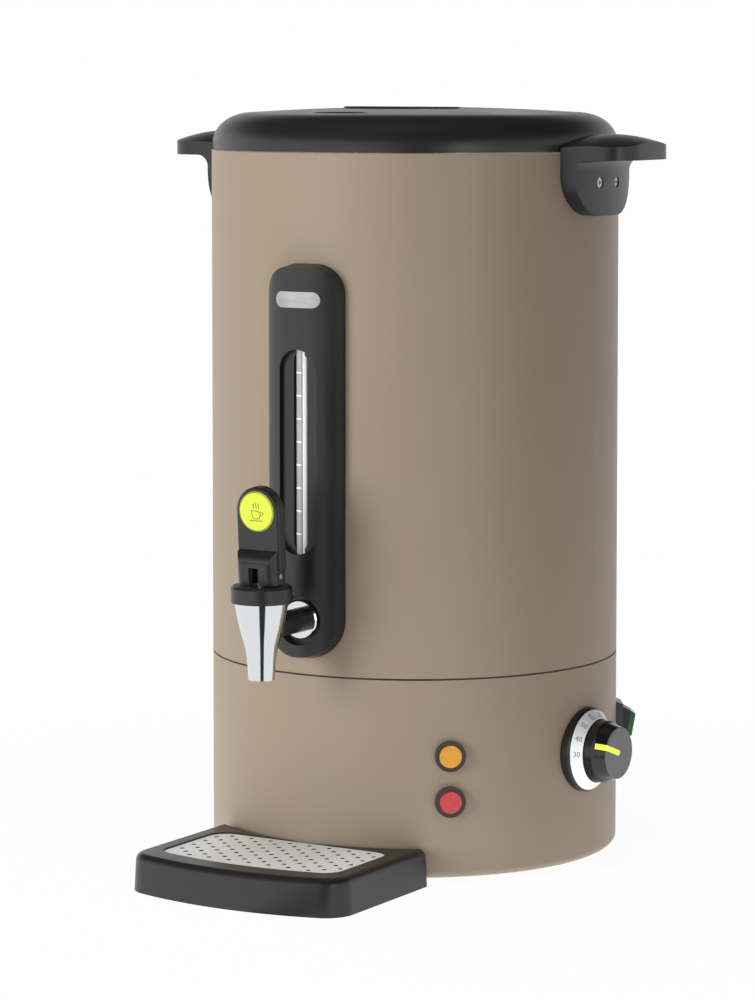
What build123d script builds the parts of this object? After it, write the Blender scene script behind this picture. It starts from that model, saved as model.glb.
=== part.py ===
from build123d import *
import os
from math import atan2, cos, degrees, radians, sin, sqrt, tan

# Hot water urn with a double-walled body, lift-off lid, lever tap and drip tray.
# Millimetres. Z is up, the tap faces -Y, and the origin lies on the body's axis at the floor.
# A bearing is counted in degrees from the front (-Y) round towards +X.

os.makedirs("parts", exist_ok=True)

# ---------------------------------------------------------------- clearances
fit_gap = 0.05  # between pieces that are fixed to each other
run_gap = 0.4  # between pieces that move past each other
pin_gap = 0.05  # radial play of a hinge pin or a spindle
cut_length = 1200.0  # longer than the urn, for cuts that run right through

# ---------------------------------------------------------------- body
body_radius = 139.0
casing_wall = 1.0
foot_height = 3.0
base_height = 131.4  # base casing, without the feet
seam_gap = 1.2
upper_height = 342.9
casing_edge_radius = 5.0
casing_top_radius = 0.8
bottom_flange = 12.0  # width of the flange that carries the base plate
top_flange = 7.0
seam_recess = 0.8
ring_lip_height = 6.0
ring_lip_wall = 1.2
ring_web_width = 9.0

base_top = foot_height + base_height
upper_bottom = base_top + seam_gap
casing_top = upper_bottom + upper_height

# ---------------------------------------------------------------- tank
jacket_gap = 7.0  # air between the casing and the tank
tank_wall = 0.8
tank_edge_radius = 10.0
tank_lift = 14.4  # tank bottom above the seam
rim_width = 4.9  # flange of the tank's rim, outside the tank wall

tank_radius = body_radius - casing_wall - jacket_gap
tank_bottom = upper_bottom + tank_lift
rim_radius = tank_radius + rim_width
rim_top = casing_top + tank_wall

# ---------------------------------------------------------------- chassis
deck_drop = 7.6  # deck plate below the seam
deck_thickness = 1.2
deck_margin = 1.5
base_plate_thickness = 1.2
base_plate_margin = 7.0
tie_rod_radius = 5.0
tie_rod_inset = 39.0
tie_rod_bearings = (0, 120, 240)
tank_stud_radius = 4.0
tank_stud_inset = 34.0
tank_stud_bearings = (90, 210, 330)
chassis_screw_radius = 2.0
chassis_screw_length = 9.0
chassis_head_radius = 3.8
chassis_head_height = 2.2
screw_recess_depth = 1.2
screw_recess_width = 0.9
foot_radius = 11.0
foot_inset = 35.0  # axis of a foot inside the wall of the body
foot_bearings = (45, 135, 225, 315)
foot_draft = 4.0
foot_stem_radius = 2.5
foot_barb_radius = 3.4
foot_barb_height = 2.4

foot_circle = body_radius - foot_inset
tie_rod_circle = body_radius - tie_rod_inset
tank_stud_circle = body_radius - tank_stud_inset
deck_top = upper_bottom - deck_drop + deck_thickness
deck_bottom = deck_top - deck_thickness
base_plate_bottom = foot_height + casing_wall
base_plate_top = base_plate_bottom + base_plate_thickness

# ---------------------------------------------------------------- heating
spreader_stud_gap = 15.0  # edge of the spreader inside the circle of the tank studs
spreader_thickness = 4.0
element_ring_radius = 62.0
element_tube_radius = 4.2
element_flat = 0.8  # flattened against the spreader
element_gap_angle = 28.0
element_leg_radius = 4.7  # sleeves on the cold legs
element_leg_length = 30.0
leg_hole_gap = 1.5
bulb_radius = 3.0
bulb_length = 50.0
bulb_offset = 98.0
bulb_end = -40.0
capillary_radius = 0.8
capillary_bend = 6.0
capillary_hole_radius = 5.0

spreader_radius = tank_stud_circle - spreader_stud_gap

# ---------------------------------------------------------------- lid
lid_inset = 0.8  # edge of the lid inside the wall of the body
lid_wall = 2.0
lid_rim_height = 4.0
lid_shoulder_width = 26.5
lid_shoulder_height = 20.6
lid_crown = 3.6
lid_seat_gap = 0.3
lid_recess_length = 84.0
lid_recess_width = 76.0
lid_recess_depth = 14.0
lid_recess_front = 18.0  # centre of the grip, in front of the axis
lid_grip_width = 24.0
lid_grip_rise = 0.4
lid_grip_overlap = 4.0
lid_grip_round = 0.7
vent_length = 42.0
vent_width = 15.0
vent_depth = 8.0
vent_front = 98.0
vent_slot_length = 26.0
vent_slot_width = 4.0
vent_hole_radius = 5.0
liner_thickness = 2.0
liner_skirt_wall = 2.5
liner_skirt_depth = 8.0
seal_flange_thickness = 1.3
seal_depth = 5.0
seal_wall = 3.2

lid_radius = body_radius - lid_inset
lid_bottom = casing_top + lid_seat_gap
lid_edge = lid_bottom + lid_rim_height
lid_top = lid_edge + lid_shoulder_height
seal_top = rim_top + seal_flange_thickness
seal_outer = tank_radius - tank_wall - run_gap
seal_inner = seal_outer - seal_wall
skirt_outer = seal_inner - run_gap

# ---------------------------------------------------------------- handles
handle_length = 42.5  # how far a grip stands out from the body
handle_root_half_width = 39.0
handle_tip_half_width = 35.0
handle_taper_length = 31.5
handle_tip_bulge = 2.0
handle_corner_radius = 22.0
handle_plate_drop = 5.3  # plate underside below the top of the casing
handle_plate_crown = 11.5  # crown above the top of the casing
handle_crown_radius = 105.0
bracket_thickness = 10.5
bracket_half_width = 39.0
bracket_depth = 42.5  # below the top of the casing
bracket_corner_radius = 27.0
bracket_fillet = 8.0
notch_height = 5.6
notch_depth = 6.5
notch_length = 20.0
notch_drop = 2.5
handle_reach = body_radius + handle_length
handle_taper_start = handle_reach - handle_taper_length
handle_screw_spacing = 22.0
handle_screw_drop = 20.5
handle_screw_radius = 2.0
handle_head_radius = 3.7
handle_head_height = 2.4
handle_counterbore_depth = 3.2
handle_screw_tail = 1.0  # beyond the nut plate
handle_root_bearing = 25.0  # the grip starts behind the wall at this bearing
backing_plate_thickness = 1.6
backing_plate_height = 16.0
backing_plate_half_width = 19.0

# ---------------------------------------------------------------- tap line
tap_height = 173.0
tap_reach = 195.0  # tap axis in front of the body's axis
shank_radius = 8.0
shank_bore = 4.5
shank_inside = 14.0  # length inside the tank
shank_entry = 1.5  # end of the shank inside the wall of the tap's chamber
washer_radius = 14.0
washer_thickness = 3.0
lock_nut_radius = 14.5
lock_nut_thickness = 6.0
tap_nut_radius = 12.95
tap_nut_thickness = 4.0
tap_nut_chamfer = 0.8

# ---------------------------------------------------------------- level gauge
bezel_half_width = 28.4
bezel_bottom_drop = 27.5  # below the tap line
bezel_height = 261.9
bezel_crown = 14.0  # proud of the casing in the middle
bezel_crown_radius = 43.8
bezel_draft = 3.4  # how much narrower the front outline is
bezel_top_corner = 21.0
bezel_bottom_corner = 27.5
bezel_wall = 2.5
bezel_back_bearing = 20.0  # the bezel starts behind the wall at this bearing
window_width = 28.3
window_above_tap = 43.2
window_below_top = 56.6  # top of the window below the top of the bezel
window_floor = 8.5  # floor of the window, proud of the casing
floor_wall = 2.0
pocket_radius = 16.5
pocket_floor = 6.5
tube_slot_width = 10.4
tube_slot_inset = 2.5
tube_radius = 4.5
tube_wall = 1.2
tube_proud = 4.9  # tube axis, proud of the casing
tube_seat_length = 11.0
strip_thickness = 0.4
strip_standoff = 0.05
seal_sleeve_wall = 1.8
holder_half_width = 8.5
holder_height = 15.0
holder_front_gap = 1.2
holder_window_gap = 2.5
holder_ring_radius = 14.0
port_radius = 1.5
label_length = 33.8
label_width = 10.4
label_thickness = 0.6
label_below_top = 24.1
bezel_screw_bearing = 5.8
bezel_screw_below_top = 22.5
bezel_boss_radius = 3.8
panel_screw_radius = 1.5
panel_screw_length = 9.0
panel_head_radius = 3.0
panel_head_height = 2.0

# ---------------------------------------------------------------- tap
cup_height = 50.4
cup_top_above_line = 17.6
cup_profile = ((0.0, 8.6), (11.2, 9.3), (19.5, 10.3), (30.6, 13.4), (40.3, 15.6), (50.4, 17.5))
spout_bore = 6.2
seat_bore = 5.0
seat_height = 22.8  # valve seat above the spout's mouth
seat_land = 3.0
chamber_floor_radius = 9.0
chamber_neck_radius = 14.2
chamber_neck_height = 40.3
bonnet_radius = 19.95
bonnet_height = 11.0
bonnet_chamfer = 1.6
bonnet_skirt_depth = 6.8
spring_bore_radius = 7.6
spring_seat_above_cup = 6.2
stem_radius = 3.2
valve_seal_radius = 8.5
valve_seal_height = 9.0
valve_seal_top_radius = 5.5
stem_foot_above_seat = 3.0
stem_flange_radius = 6.3
stem_flange_thickness = 1.4
spring_mean_radius = 5.3
spring_wire_radius = 0.6
spring_turns = 6

# ---------------------------------------------------------------- lever
pin_above_bonnet = 6.4
pin_radius = 1.75
pin_proud = 0.4
stem_above_pin = 3.8
neck_half_width = 14.4
neck_front = 10.6  # in front of the tap's axis, at the top of the neck
neck_front_bottom = 9.0
neck_rear = 8.0
neck_height = 14.0
heel_gap = 0.9  # neck above the bonnet
neck_corner_radius = 6.5
neck_rear_corner_radius = 3.0
cavity_half_width = 3.6
cavity_height = 11.0
cavity_rear = 6.2
paddle_half_width = 16.0
paddle_thickness = 7.6
paddle_height = 49.0
paddle_root = 4.5  # length let into the neck
paddle_lean = 4.0  # degrees, top towards the front
paddle_front = 3.0  # face in front of the tap's axis, at the neck
paddle_edge_radius = 1.8
cove_depth = 6.6  # hollow between the lip of the neck and the face of the paddle
cove_height = 8.0
badge_radius = 13.0
badge_thickness = 1.0
badge_below_top = 15.7

# ---------------------------------------------------------------- thermostat and knob
knob_bearing = 86.2
knob_height = 78.2
dial_base_radius = 28.25
dial_base_proud = 3.9
dial_base_chamfer = 1.4
dial_recess_floor = 2.4  # floor of the recess, proud of the casing
dial_ring_outer = 26.75
dial_ring_inner = 21.3
dial_ring_edge = 0.5
dial_ring_rise = 5.9
knob_skirt_radius = 20.7
knob_skirt_front = 16.6
knob_waist_radius = 19.4
knob_face_radius = 17.2
knob_proud = 25.9
knob_back_gap = 0.6
knob_wall = 2.4
knob_hub_radius = 6.0
knob_hub_back = 6.5
knob_edge_radius = 0.9
spindle_radius = 3.0
spindle_end = 20.0
spindle_start = -14.0
bush_radius = 5.0
bush_front = 5.4
thermostat_half_width = 18.0
thermostat_half_height = 16.0
thermostat_depth = 27.0
thermostat_standoff = 2.25  # front of the body behind the middle of the wall's inner face
thermostat_screw_spacing = 28.0
pointer_width = 3.6
pointer_end_flat = 0.1
pointer_proud = 0.5
pointer_depth = 0.9
pointer_angle = 20.0  # degrees above the horizontal, on the front side of the knob

# ---------------------------------------------------------------- pilot lamps
lamp_bearing = 40.0
amber_lamp_height = 84.5
red_lamp_height = 54.2
lamp_flange_radius = 10.15
lamp_body_radius = 8.0
lamp_proud = 3.0
lamp_body_depth = 22.0
lamp_wall = 1.4
lens_radius = 7.5
lens_plug_radius = 6.2
lens_proud = 2.6
lens_dome = 0.9
lens_plug_depth = 10.0

# ---------------------------------------------------------------- rocker switch
switch_bearing = 122.0
switch_height = 82.9
switch_base_half_height = 15.3
switch_front_half_height = 13.0
switch_base_half_width = 11.0
switch_front_half_width = 9.4
switch_frame_proud = 4.6
switch_window_half_height = 11.6
switch_window_half_width = 7.0
switch_housing_half_height = 13.6
switch_housing_half_width = 8.8
switch_housing_depth = 22.0
switch_housing_floor = 3.0
rocker_axis_proud = 2.0
rocker_half_width = 6.5
rocker_tilt = 10.0  # degrees either side of the middle
rocker_flank = (1.0, 10.8)  # (outwards from its axis, half height)
rocker_shoulder = (2.4, 10.8)
rocker_front = (7.0, 9.2)
rocker_light_front = (10.3, 7.7)
rocker_back = (-4.0, 6.0)
rocker_pivot_radius = 1.25
rocker_pivot_length = 1.8

# ---------------------------------------------------------------- cable inlet and wiring block
gland_bearing = 180.0
gland_height = 40.0
gland_body_radius = 11.0
gland_body_length = 7.0
gland_dome_radius = 9.6
gland_dome_length = 8.0
gland_dome_round = 2.5
gland_thread_radius = 8.0
gland_thread_length = 14.0
gland_bore = 4.5
gland_nut_radius = 11.5
gland_nut_thickness = 5.0
terminal_length = 44.0
terminal_width = 18.0
terminal_height = 15.0
terminal_back = 62.0
terminal_ways = 4
terminal_pitch = 9.5
terminal_hole_radius = 2.2
terminal_hole_depth = 9.0

# ---------------------------------------------------------------- dry-boil cut-out
cutout_x = -52.0
cutout_y = 40.0
cutout_length = 30.0
cutout_width = 24.0
cutout_height = 32.0
button_radius = 3.5
button_flange_radius = 5.0
button_flange_thickness = 1.0
button_floor_gap = 1.6
button_height = 12.0
button_travel = 2.0

# ---------------------------------------------------------------- drip tray
tray_front = 245.0
tray_height = 24.6
tray_half_width = 81.6
tray_front_corner_set = 14.5  # corners behind the middle of the front
tray_corner_radius = 20.0
tray_rear_corner_radius = 6.0
tray_body_gap = 0.5
tray_draft = 3.0
tray_edge_radius = 5.0
tray_floor = 2.4
grid_front = 224.2
grid_back = 143.2
grid_half_width = 67.0
grid_corner_set = 9.4
grid_corner_radius = 13.0
grid_thickness = 1.0
grid_depth = 1.0  # top of the grid below the rim of the tray
grid_gap = 0.5
ledge_width = 3.5
hole_radius = 1.65
hole_pitch_x = 15.2
hole_pitch_y = 13.8
hole_margin = 4.5


def wall_plane(bearing, height, radius=body_radius):
    """Plane on the wall at a bearing, its normal outwards, its X round the wall and its Y up."""
    turn = radians(bearing)
    out = (sin(turn), -cos(turn), 0)
    return Plane(
        origin=(radius * out[0], radius * out[1], height),
        x_dir=(cos(turn), sin(turn), 0),
        z_dir=out,
    )


def floor_point(bearing, radius):
    """X and Y of a point at a bearing and a distance from the body's axis."""
    return (radius * sin(radians(bearing)), -radius * cos(radians(bearing)))


def front_plane(distance):
    """Upright plane in front of the axis, facing the front, its X to the right and its Y up."""
    return Plane(origin=(0, -distance, 0), x_dir=(1, 0, 0), z_dir=(0, -1, 0))


def save(piece, name):
    piece.part.label = name
    export_step(piece.part, f"parts/{name}.step")


handle_screw_z = casing_top - handle_screw_drop
bezel_bottom = tap_height - bezel_bottom_drop
bezel_top = bezel_bottom + bezel_height
bezel_screw_z = bezel_top - bezel_screw_below_top
handle_screw_bearings = [
    side + turn * degrees(atan2(handle_screw_spacing / 2, body_radius))
    for side in (90, -90)
    for turn in (1, -1)
]
bezel_screw_bearings = (bezel_screw_bearing, -bezel_screw_bearing)
lamp_heights = {"amber": amber_lamp_height, "red": red_lamp_height}
knob_wall_plane = wall_plane(knob_bearing, knob_height)
knob_axis = Axis(knob_wall_plane.origin, knob_wall_plane.z_dir)
thermostat_screw_points = [(thermostat_screw_spacing / 2, 0), (-thermostat_screw_spacing / 2, 0)]

# ================================================================ casings
with BuildPart() as upper_casing:
    with BuildSketch(Plane.XZ) as upper_casing_profile:
        with BuildLine():
            Polyline(
                (body_radius - casing_wall, upper_bottom),
                (body_radius, upper_bottom),
                (body_radius, casing_top),
                (body_radius - top_flange, casing_top),
                (body_radius - top_flange, casing_top - casing_wall),
                (body_radius - casing_wall, casing_top - casing_wall),
                close=True,
            )
        make_face()
        fillet(
            upper_casing_profile.vertices().sort_by(Axis.Y)[-2:].sort_by(Axis.X)[-1],
            radius=casing_top_radius,
        )
    revolve(axis=Axis.Z)
    with Locations(wall_plane(0, tap_height)):
        Hole(radius=shank_radius + fit_gap, depth=casing_wall * 2)
    for bearing in bezel_screw_bearings:
        with Locations(wall_plane(bearing, bezel_screw_z)):
            Hole(radius=panel_screw_radius + fit_gap, depth=casing_wall * 2)
    for bearing in handle_screw_bearings:
        with Locations(wall_plane(bearing, handle_screw_z)):
            Hole(radius=handle_screw_radius + fit_gap, depth=casing_wall * 2)
save(upper_casing, "upper_casing")

with BuildPart() as base_casing:
    with BuildSketch(Plane.XZ) as base_casing_profile:
        with BuildLine():
            Polyline(
                (body_radius - casing_wall, base_top),
                (body_radius, base_top),
                (body_radius, foot_height),
                (body_radius - bottom_flange - casing_edge_radius, foot_height),
                (body_radius - bottom_flange - casing_edge_radius, foot_height + casing_wall),
                (body_radius - casing_wall, foot_height + casing_wall),
                close=True,
            )
        make_face()
        fillet(
            base_casing_profile.vertices().sort_by(Axis.Y)[:2].sort_by(Axis.X)[-1],
            radius=casing_edge_radius,
        )
        fillet(
            base_casing_profile.vertices().group_by(Axis.Y)[1].sort_by(Axis.X)[-1],
            radius=casing_edge_radius - casing_wall,
        )
    revolve(axis=Axis.Z)
    for height in lamp_heights.values():
        with Locations(wall_plane(lamp_bearing, height)):
            Hole(radius=lamp_body_radius + fit_gap, depth=casing_wall * 2)
    with Locations(wall_plane(gland_bearing, gland_height)):
        Hole(radius=gland_thread_radius + fit_gap, depth=casing_wall * 2)
    with Locations(knob_wall_plane):
        Hole(radius=bush_radius + fit_gap, depth=casing_wall * 2)
        with Locations(*thermostat_screw_points):
            Hole(radius=panel_screw_radius + fit_gap, depth=casing_wall * 3)
    with BuildSketch(wall_plane(switch_bearing, switch_height)):
        Rectangle(
            2 * (switch_housing_half_width + fit_gap), 2 * (switch_housing_half_height + fit_gap)
        )
    extrude(amount=casing_wall * 3, both=True, mode=Mode.SUBTRACT)
save(base_casing, "base_casing")

ring_outer = body_radius - seam_recess
lip_outer = body_radius - casing_wall - fit_gap
with BuildPart() as joint_ring:
    with BuildSketch(Plane.XZ):
        with BuildLine():
            Polyline(
                (ring_outer, base_top),
                (ring_outer, upper_bottom),
                (lip_outer, upper_bottom),
                (lip_outer, upper_bottom + ring_lip_height),
                (lip_outer - ring_lip_wall, upper_bottom + ring_lip_height),
                (lip_outer - ring_lip_wall, upper_bottom),
                (ring_outer - ring_web_width, upper_bottom),
                (ring_outer - ring_web_width, base_top),
                (lip_outer - ring_lip_wall, base_top),
                (lip_outer - ring_lip_wall, base_top - ring_lip_height),
                (lip_outer, base_top - ring_lip_height),
                (lip_outer, base_top),
                close=True,
            )
        make_face()
    revolve(axis=Axis.Z)
save(joint_ring, "joint_ring")

# ================================================================ tank
with BuildPart() as tank:
    with BuildSketch(Plane.XZ) as tank_profile:
        with BuildLine():
            Polyline(
                (0, tank_bottom),
                (tank_radius, tank_bottom),
                (tank_radius, casing_top),
                (rim_radius, casing_top),
                (rim_radius, rim_top),
                (tank_radius - tank_wall, rim_top),
                (tank_radius - tank_wall, tank_bottom + tank_wall),
                (0, tank_bottom + tank_wall),
                close=True,
            )
        make_face()
        fillet(
            tank_profile.vertices().group_by(Axis.Y)[0].sort_by(Axis.X)[-1],
            radius=tank_edge_radius,
        )
        fillet(
            tank_profile.vertices().filter_by_position(
                Axis.Y, tank_bottom + tank_wall - fit_gap, tank_bottom + tank_wall + fit_gap
            ).sort_by(Axis.X)[-1],
            radius=tank_edge_radius - tank_wall,
        )
    revolve(axis=Axis.Z)
    with Locations(wall_plane(0, tap_height, tank_radius)):
        Hole(radius=shank_radius + fit_gap, depth=tank_wall * 3)
save(tank, "tank")

# ================================================================ chassis between tank and floor
with BuildPart() as tank_studs:
    with BuildSketch(Plane.XY.offset(deck_top)):
        with Locations(*[floor_point(b, tank_stud_circle) for b in tank_stud_bearings]):
            Circle(tank_stud_radius)
            Circle(chassis_screw_radius + fit_gap, mode=Mode.SUBTRACT)
    extrude(amount=tank_bottom - deck_top)
save(tank_studs, "tank_studs")

with BuildPart() as deck_plate:
    with BuildSketch(Plane.XY.offset(deck_bottom)):
        Circle(ring_outer - ring_web_width - deck_margin)
        with Locations(*[floor_point(b, tank_stud_circle) for b in tank_stud_bearings]):
            Circle(chassis_screw_radius + fit_gap, mode=Mode.SUBTRACT)
        with Locations(*[floor_point(b, tie_rod_circle) for b in tie_rod_bearings]):
            Circle(chassis_screw_radius + fit_gap, mode=Mode.SUBTRACT)
        with PolarLocations(element_ring_radius, 2, -element_gap_angle, element_gap_angle * 2):
            Circle(element_leg_radius + leg_hole_gap, mode=Mode.SUBTRACT)
        with Locations((bulb_offset, bulb_end - bulb_length / 2)):
            Circle(capillary_hole_radius, mode=Mode.SUBTRACT)
    extrude(amount=deck_thickness)
save(deck_plate, "deck_plate")

with BuildPart() as tie_rods:
    with BuildSketch(Plane.XY.offset(base_plate_top)):
        with Locations(*[floor_point(b, tie_rod_circle) for b in tie_rod_bearings]):
            RegularPolygon(tie_rod_radius, 6)
            Circle(chassis_screw_radius + fit_gap, mode=Mode.SUBTRACT)
    extrude(amount=deck_bottom - base_plate_top)
save(tie_rods, "tie_rods")

with BuildPart() as base_plate:
    with BuildSketch(Plane.XY.offset(base_plate_bottom)):
        Circle(body_radius - base_plate_margin)
        with Locations(*[floor_point(b, tie_rod_circle) for b in tie_rod_bearings]):
            Circle(chassis_screw_radius + fit_gap, mode=Mode.SUBTRACT)
        with Locations(*[floor_point(b, foot_circle) for b in foot_bearings]):
            Circle(foot_stem_radius + fit_gap, mode=Mode.SUBTRACT)
        with Locations((cutout_x, cutout_y)):
            Circle(button_radius + run_gap, mode=Mode.SUBTRACT)
    extrude(amount=base_plate_thickness)
save(base_plate, "base_plate")

# Nine identical screws: up into the tank studs, down and up into the tie rods.
chassis_screw_planes = [
    Plane(origin=(*floor_point(bearing, circle), height), z_dir=(0, 0, way))
    for bearings, circle, height, way in (
        (tank_stud_bearings, tank_stud_circle, deck_bottom, -1),
        (tie_rod_bearings, tie_rod_circle, deck_top, 1),
        (tie_rod_bearings, tie_rod_circle, base_plate_bottom, -1),
    )
    for bearing in bearings
]
with BuildPart() as chassis_screws:
    with Locations(*chassis_screw_planes):
        Cylinder(
            chassis_head_radius, chassis_head_height, align=(Align.CENTER, Align.CENTER, Align.MIN)
        )
        Cylinder(
            chassis_screw_radius,
            chassis_screw_length,
            align=(Align.CENTER, Align.CENTER, Align.MAX),
        )
save(chassis_screws, "chassis_screws")

# Rubber feet, each pushed into the base plate by a barbed stem.
with BuildPart() as feet:
    with BuildSketch():
        with Locations(*[floor_point(b, foot_circle) for b in foot_bearings]):
            Circle(foot_radius)
    extrude(amount=base_plate_bottom, taper=foot_draft)
    with Locations(*[(*floor_point(b, foot_circle), base_plate_bottom) for b in foot_bearings]):
        Cylinder(
            foot_stem_radius,
            base_plate_thickness + foot_barb_height,
            align=(Align.CENTER, Align.CENTER, Align.MIN),
        )
    with Locations(*[(*floor_point(b, foot_circle), base_plate_top) for b in foot_bearings]):
        Cone(
            foot_barb_radius,
            foot_stem_radius,
            foot_barb_height,
            align=(Align.CENTER, Align.CENTER, Align.MIN),
        )
save(feet, "feet")

# ================================================================ heating
with BuildPart() as heat_spreader:
    with BuildSketch(Plane.XY.offset(tank_bottom - spreader_thickness)):
        Circle(spreader_radius)
    extrude(amount=spreader_thickness)
save(heat_spreader, "heat_spreader")

# A ring of tube, pressed flat where it lies against the spreader, with two cold legs.
element_z = tank_bottom - spreader_thickness - element_tube_radius + element_flat
with BuildPart() as heating_element:
    with BuildSketch(Plane.XZ):
        with Locations((element_ring_radius, element_z)):
            Circle(element_tube_radius)
    revolve(axis=Axis.Z, revolution_arc=360 - element_gap_angle)
    with PolarLocations(element_ring_radius, 2, -element_gap_angle, element_gap_angle * 2):
        with Locations((0, 0, element_z + element_tube_radius)):
            Cylinder(
                element_leg_radius, element_leg_length, align=(Align.CENTER, Align.CENTER, Align.MAX)
            )
    split(bisect_by=Plane.XY.offset(tank_bottom - spreader_thickness), keep=Keep.BOTTOM)
save(heating_element, "heating_element")

# Thermostat's sensing bulb under the tank, its capillary down through the deck to the thermostat.
bulb_z = tank_bottom - bulb_radius - fit_gap
capillary_x, capillary_y = bulb_offset, bulb_end - bulb_length / 2
thermostat_side = knob_wall_plane.from_local_coords(
    (-thermostat_half_width - fit_gap, 0, -thermostat_depth / 2)
)
with BuildPart() as thermostat_bulb:
    with BuildSketch(Plane.XZ.offset(-bulb_end - bulb_length)):
        with Locations((bulb_offset, bulb_z)):
            Circle(bulb_radius)
    extrude(amount=bulb_length)
    with BuildLine() as capillary_path:
        FilletPolyline(
            (capillary_x, bulb_end, bulb_z),
            (capillary_x, capillary_y, bulb_z),
            (capillary_x, capillary_y, deck_bottom - element_leg_length),
            (thermostat_side.X - capillary_bend, capillary_y + capillary_bend, knob_height),
            (thermostat_side.X, thermostat_side.Y, thermostat_side.Z),
            radius=capillary_bend,
        )
    with BuildSketch(Plane(origin=capillary_path.line @ 0, z_dir=capillary_path.line % 0)):
        Circle(capillary_radius)
    sweep(path=capillary_path.line)
save(thermostat_bulb, "thermostat_bulb")

# ================================================================ lid
def lid_outline(radius, edge, top, crown, shoulder_width, shoulder_height, bottom):
    """Half section of the lid: upright edge, elliptical shoulder and a slightly domed top."""
    Line((0, bottom), (radius, bottom))
    Line((radius, bottom), (radius, edge))
    EllipticalCenterArc(
        (radius - shoulder_width, edge), shoulder_width, shoulder_height, start_angle=0, arc_size=90
    )
    ThreePointArc(
        (radius - shoulder_width, top),
        ((radius - shoulder_width) / 2, top + crown * 3 / 4),
        (0, top + crown),
    )
    Line((0, top + crown), (0, bottom))


# Hollow of the lid: everything under its skin, apart from the wells of the grip and the vent.
with BuildPart() as lid_hollow:
    with BuildSketch(Plane.XZ):
        with BuildLine():
            lid_outline(
                lid_radius - lid_wall,
                lid_edge,
                lid_top - lid_wall,
                lid_crown,
                lid_shoulder_width - lid_wall,
                lid_shoulder_height - lid_wall,
                lid_bottom,
            )
        make_face()
    revolve(axis=Axis.Z)
    with BuildSketch(Plane.XY.offset(lid_top - lid_recess_depth - lid_wall)):
        with Locations((0, -lid_recess_front)):
            Ellipse(lid_recess_length / 2 + lid_wall, lid_recess_width / 2 + lid_wall)
    extrude(amount=lid_recess_depth * 2, mode=Mode.SUBTRACT)
    with BuildSketch(Plane.XY.offset(lid_top - vent_depth - lid_wall)):
        with Locations((0, -vent_front)):
            Ellipse(vent_length / 2 + lid_wall, vent_width / 2 + lid_wall)
    extrude(amount=vent_depth * 2, mode=Mode.SUBTRACT)

with BuildPart() as lid:
    with BuildSketch(Plane.XZ):
        with BuildLine():
            lid_outline(
                lid_radius,
                lid_edge,
                lid_top,
                lid_crown,
                lid_shoulder_width,
                lid_shoulder_height,
                lid_bottom,
            )
        make_face()
    revolve(axis=Axis.Z)
    add(lid_hollow.part, mode=Mode.SUBTRACT)
    with BuildSketch(Plane.XY.offset(lid_top - lid_recess_depth)):
        with Locations((0, -lid_recess_front)):
            Ellipse(lid_recess_length / 2, lid_recess_width / 2)
    extrude(amount=lid_recess_depth * 2, mode=Mode.SUBTRACT)
    with BuildSketch(Plane.XY.offset(lid_top - lid_recess_depth - lid_wall / 2)):
        with Locations((0, -lid_recess_front)):
            SlotOverall(lid_recess_length + lid_grip_overlap, lid_grip_width)
    extrude(amount=lid_recess_depth + lid_wall / 2 + lid_crown + lid_grip_rise)
    fillet(lid.faces().sort_by(Axis.Z)[-1].edges(), radius=lid_grip_round)
    with BuildSketch(Plane.XY.offset(lid_top - vent_depth)):
        with Locations((0, -vent_front)):
            Ellipse(vent_length / 2, vent_width / 2)
    extrude(amount=vent_depth * 2, mode=Mode.SUBTRACT)
    with BuildSketch(Plane.XY.offset(lid_top - vent_depth - lid_wall * 2)):
        with Locations((0, -vent_front)):
            SlotOverall(vent_slot_length, vent_slot_width)
    extrude(amount=lid_wall * 4, mode=Mode.SUBTRACT)
save(lid, "lid")

# Flat inner cover that closes the lid's hollow, with the skirt that centres the lid in the tank.
with BuildPart() as lid_liner:
    with BuildSketch(Plane.XY.offset(seal_top)):
        Circle(lid_radius - lid_wall - fit_gap)
        with Locations((0, -vent_front)):
            Circle(vent_hole_radius, mode=Mode.SUBTRACT)
    extrude(amount=liner_thickness)
    with BuildSketch(Plane.XY.offset(seal_top)):
        Circle(skirt_outer)
        Circle(skirt_outer - liner_skirt_wall, mode=Mode.SUBTRACT)
    extrude(amount=-liner_skirt_depth)
save(lid_liner, "lid_liner")

with BuildPart() as lid_seal:
    with BuildSketch(Plane.XZ):
        with BuildLine():
            Polyline(
                (seal_inner, rim_top - seal_depth),
                (seal_outer, rim_top - seal_depth),
                (seal_outer, rim_top),
                (rim_radius, rim_top),
                (rim_radius, seal_top),
                (seal_inner, seal_top),
                close=True,
            )
        make_face()
    revolve(axis=Axis.Z)
save(lid_seal, "lid_seal")

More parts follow.
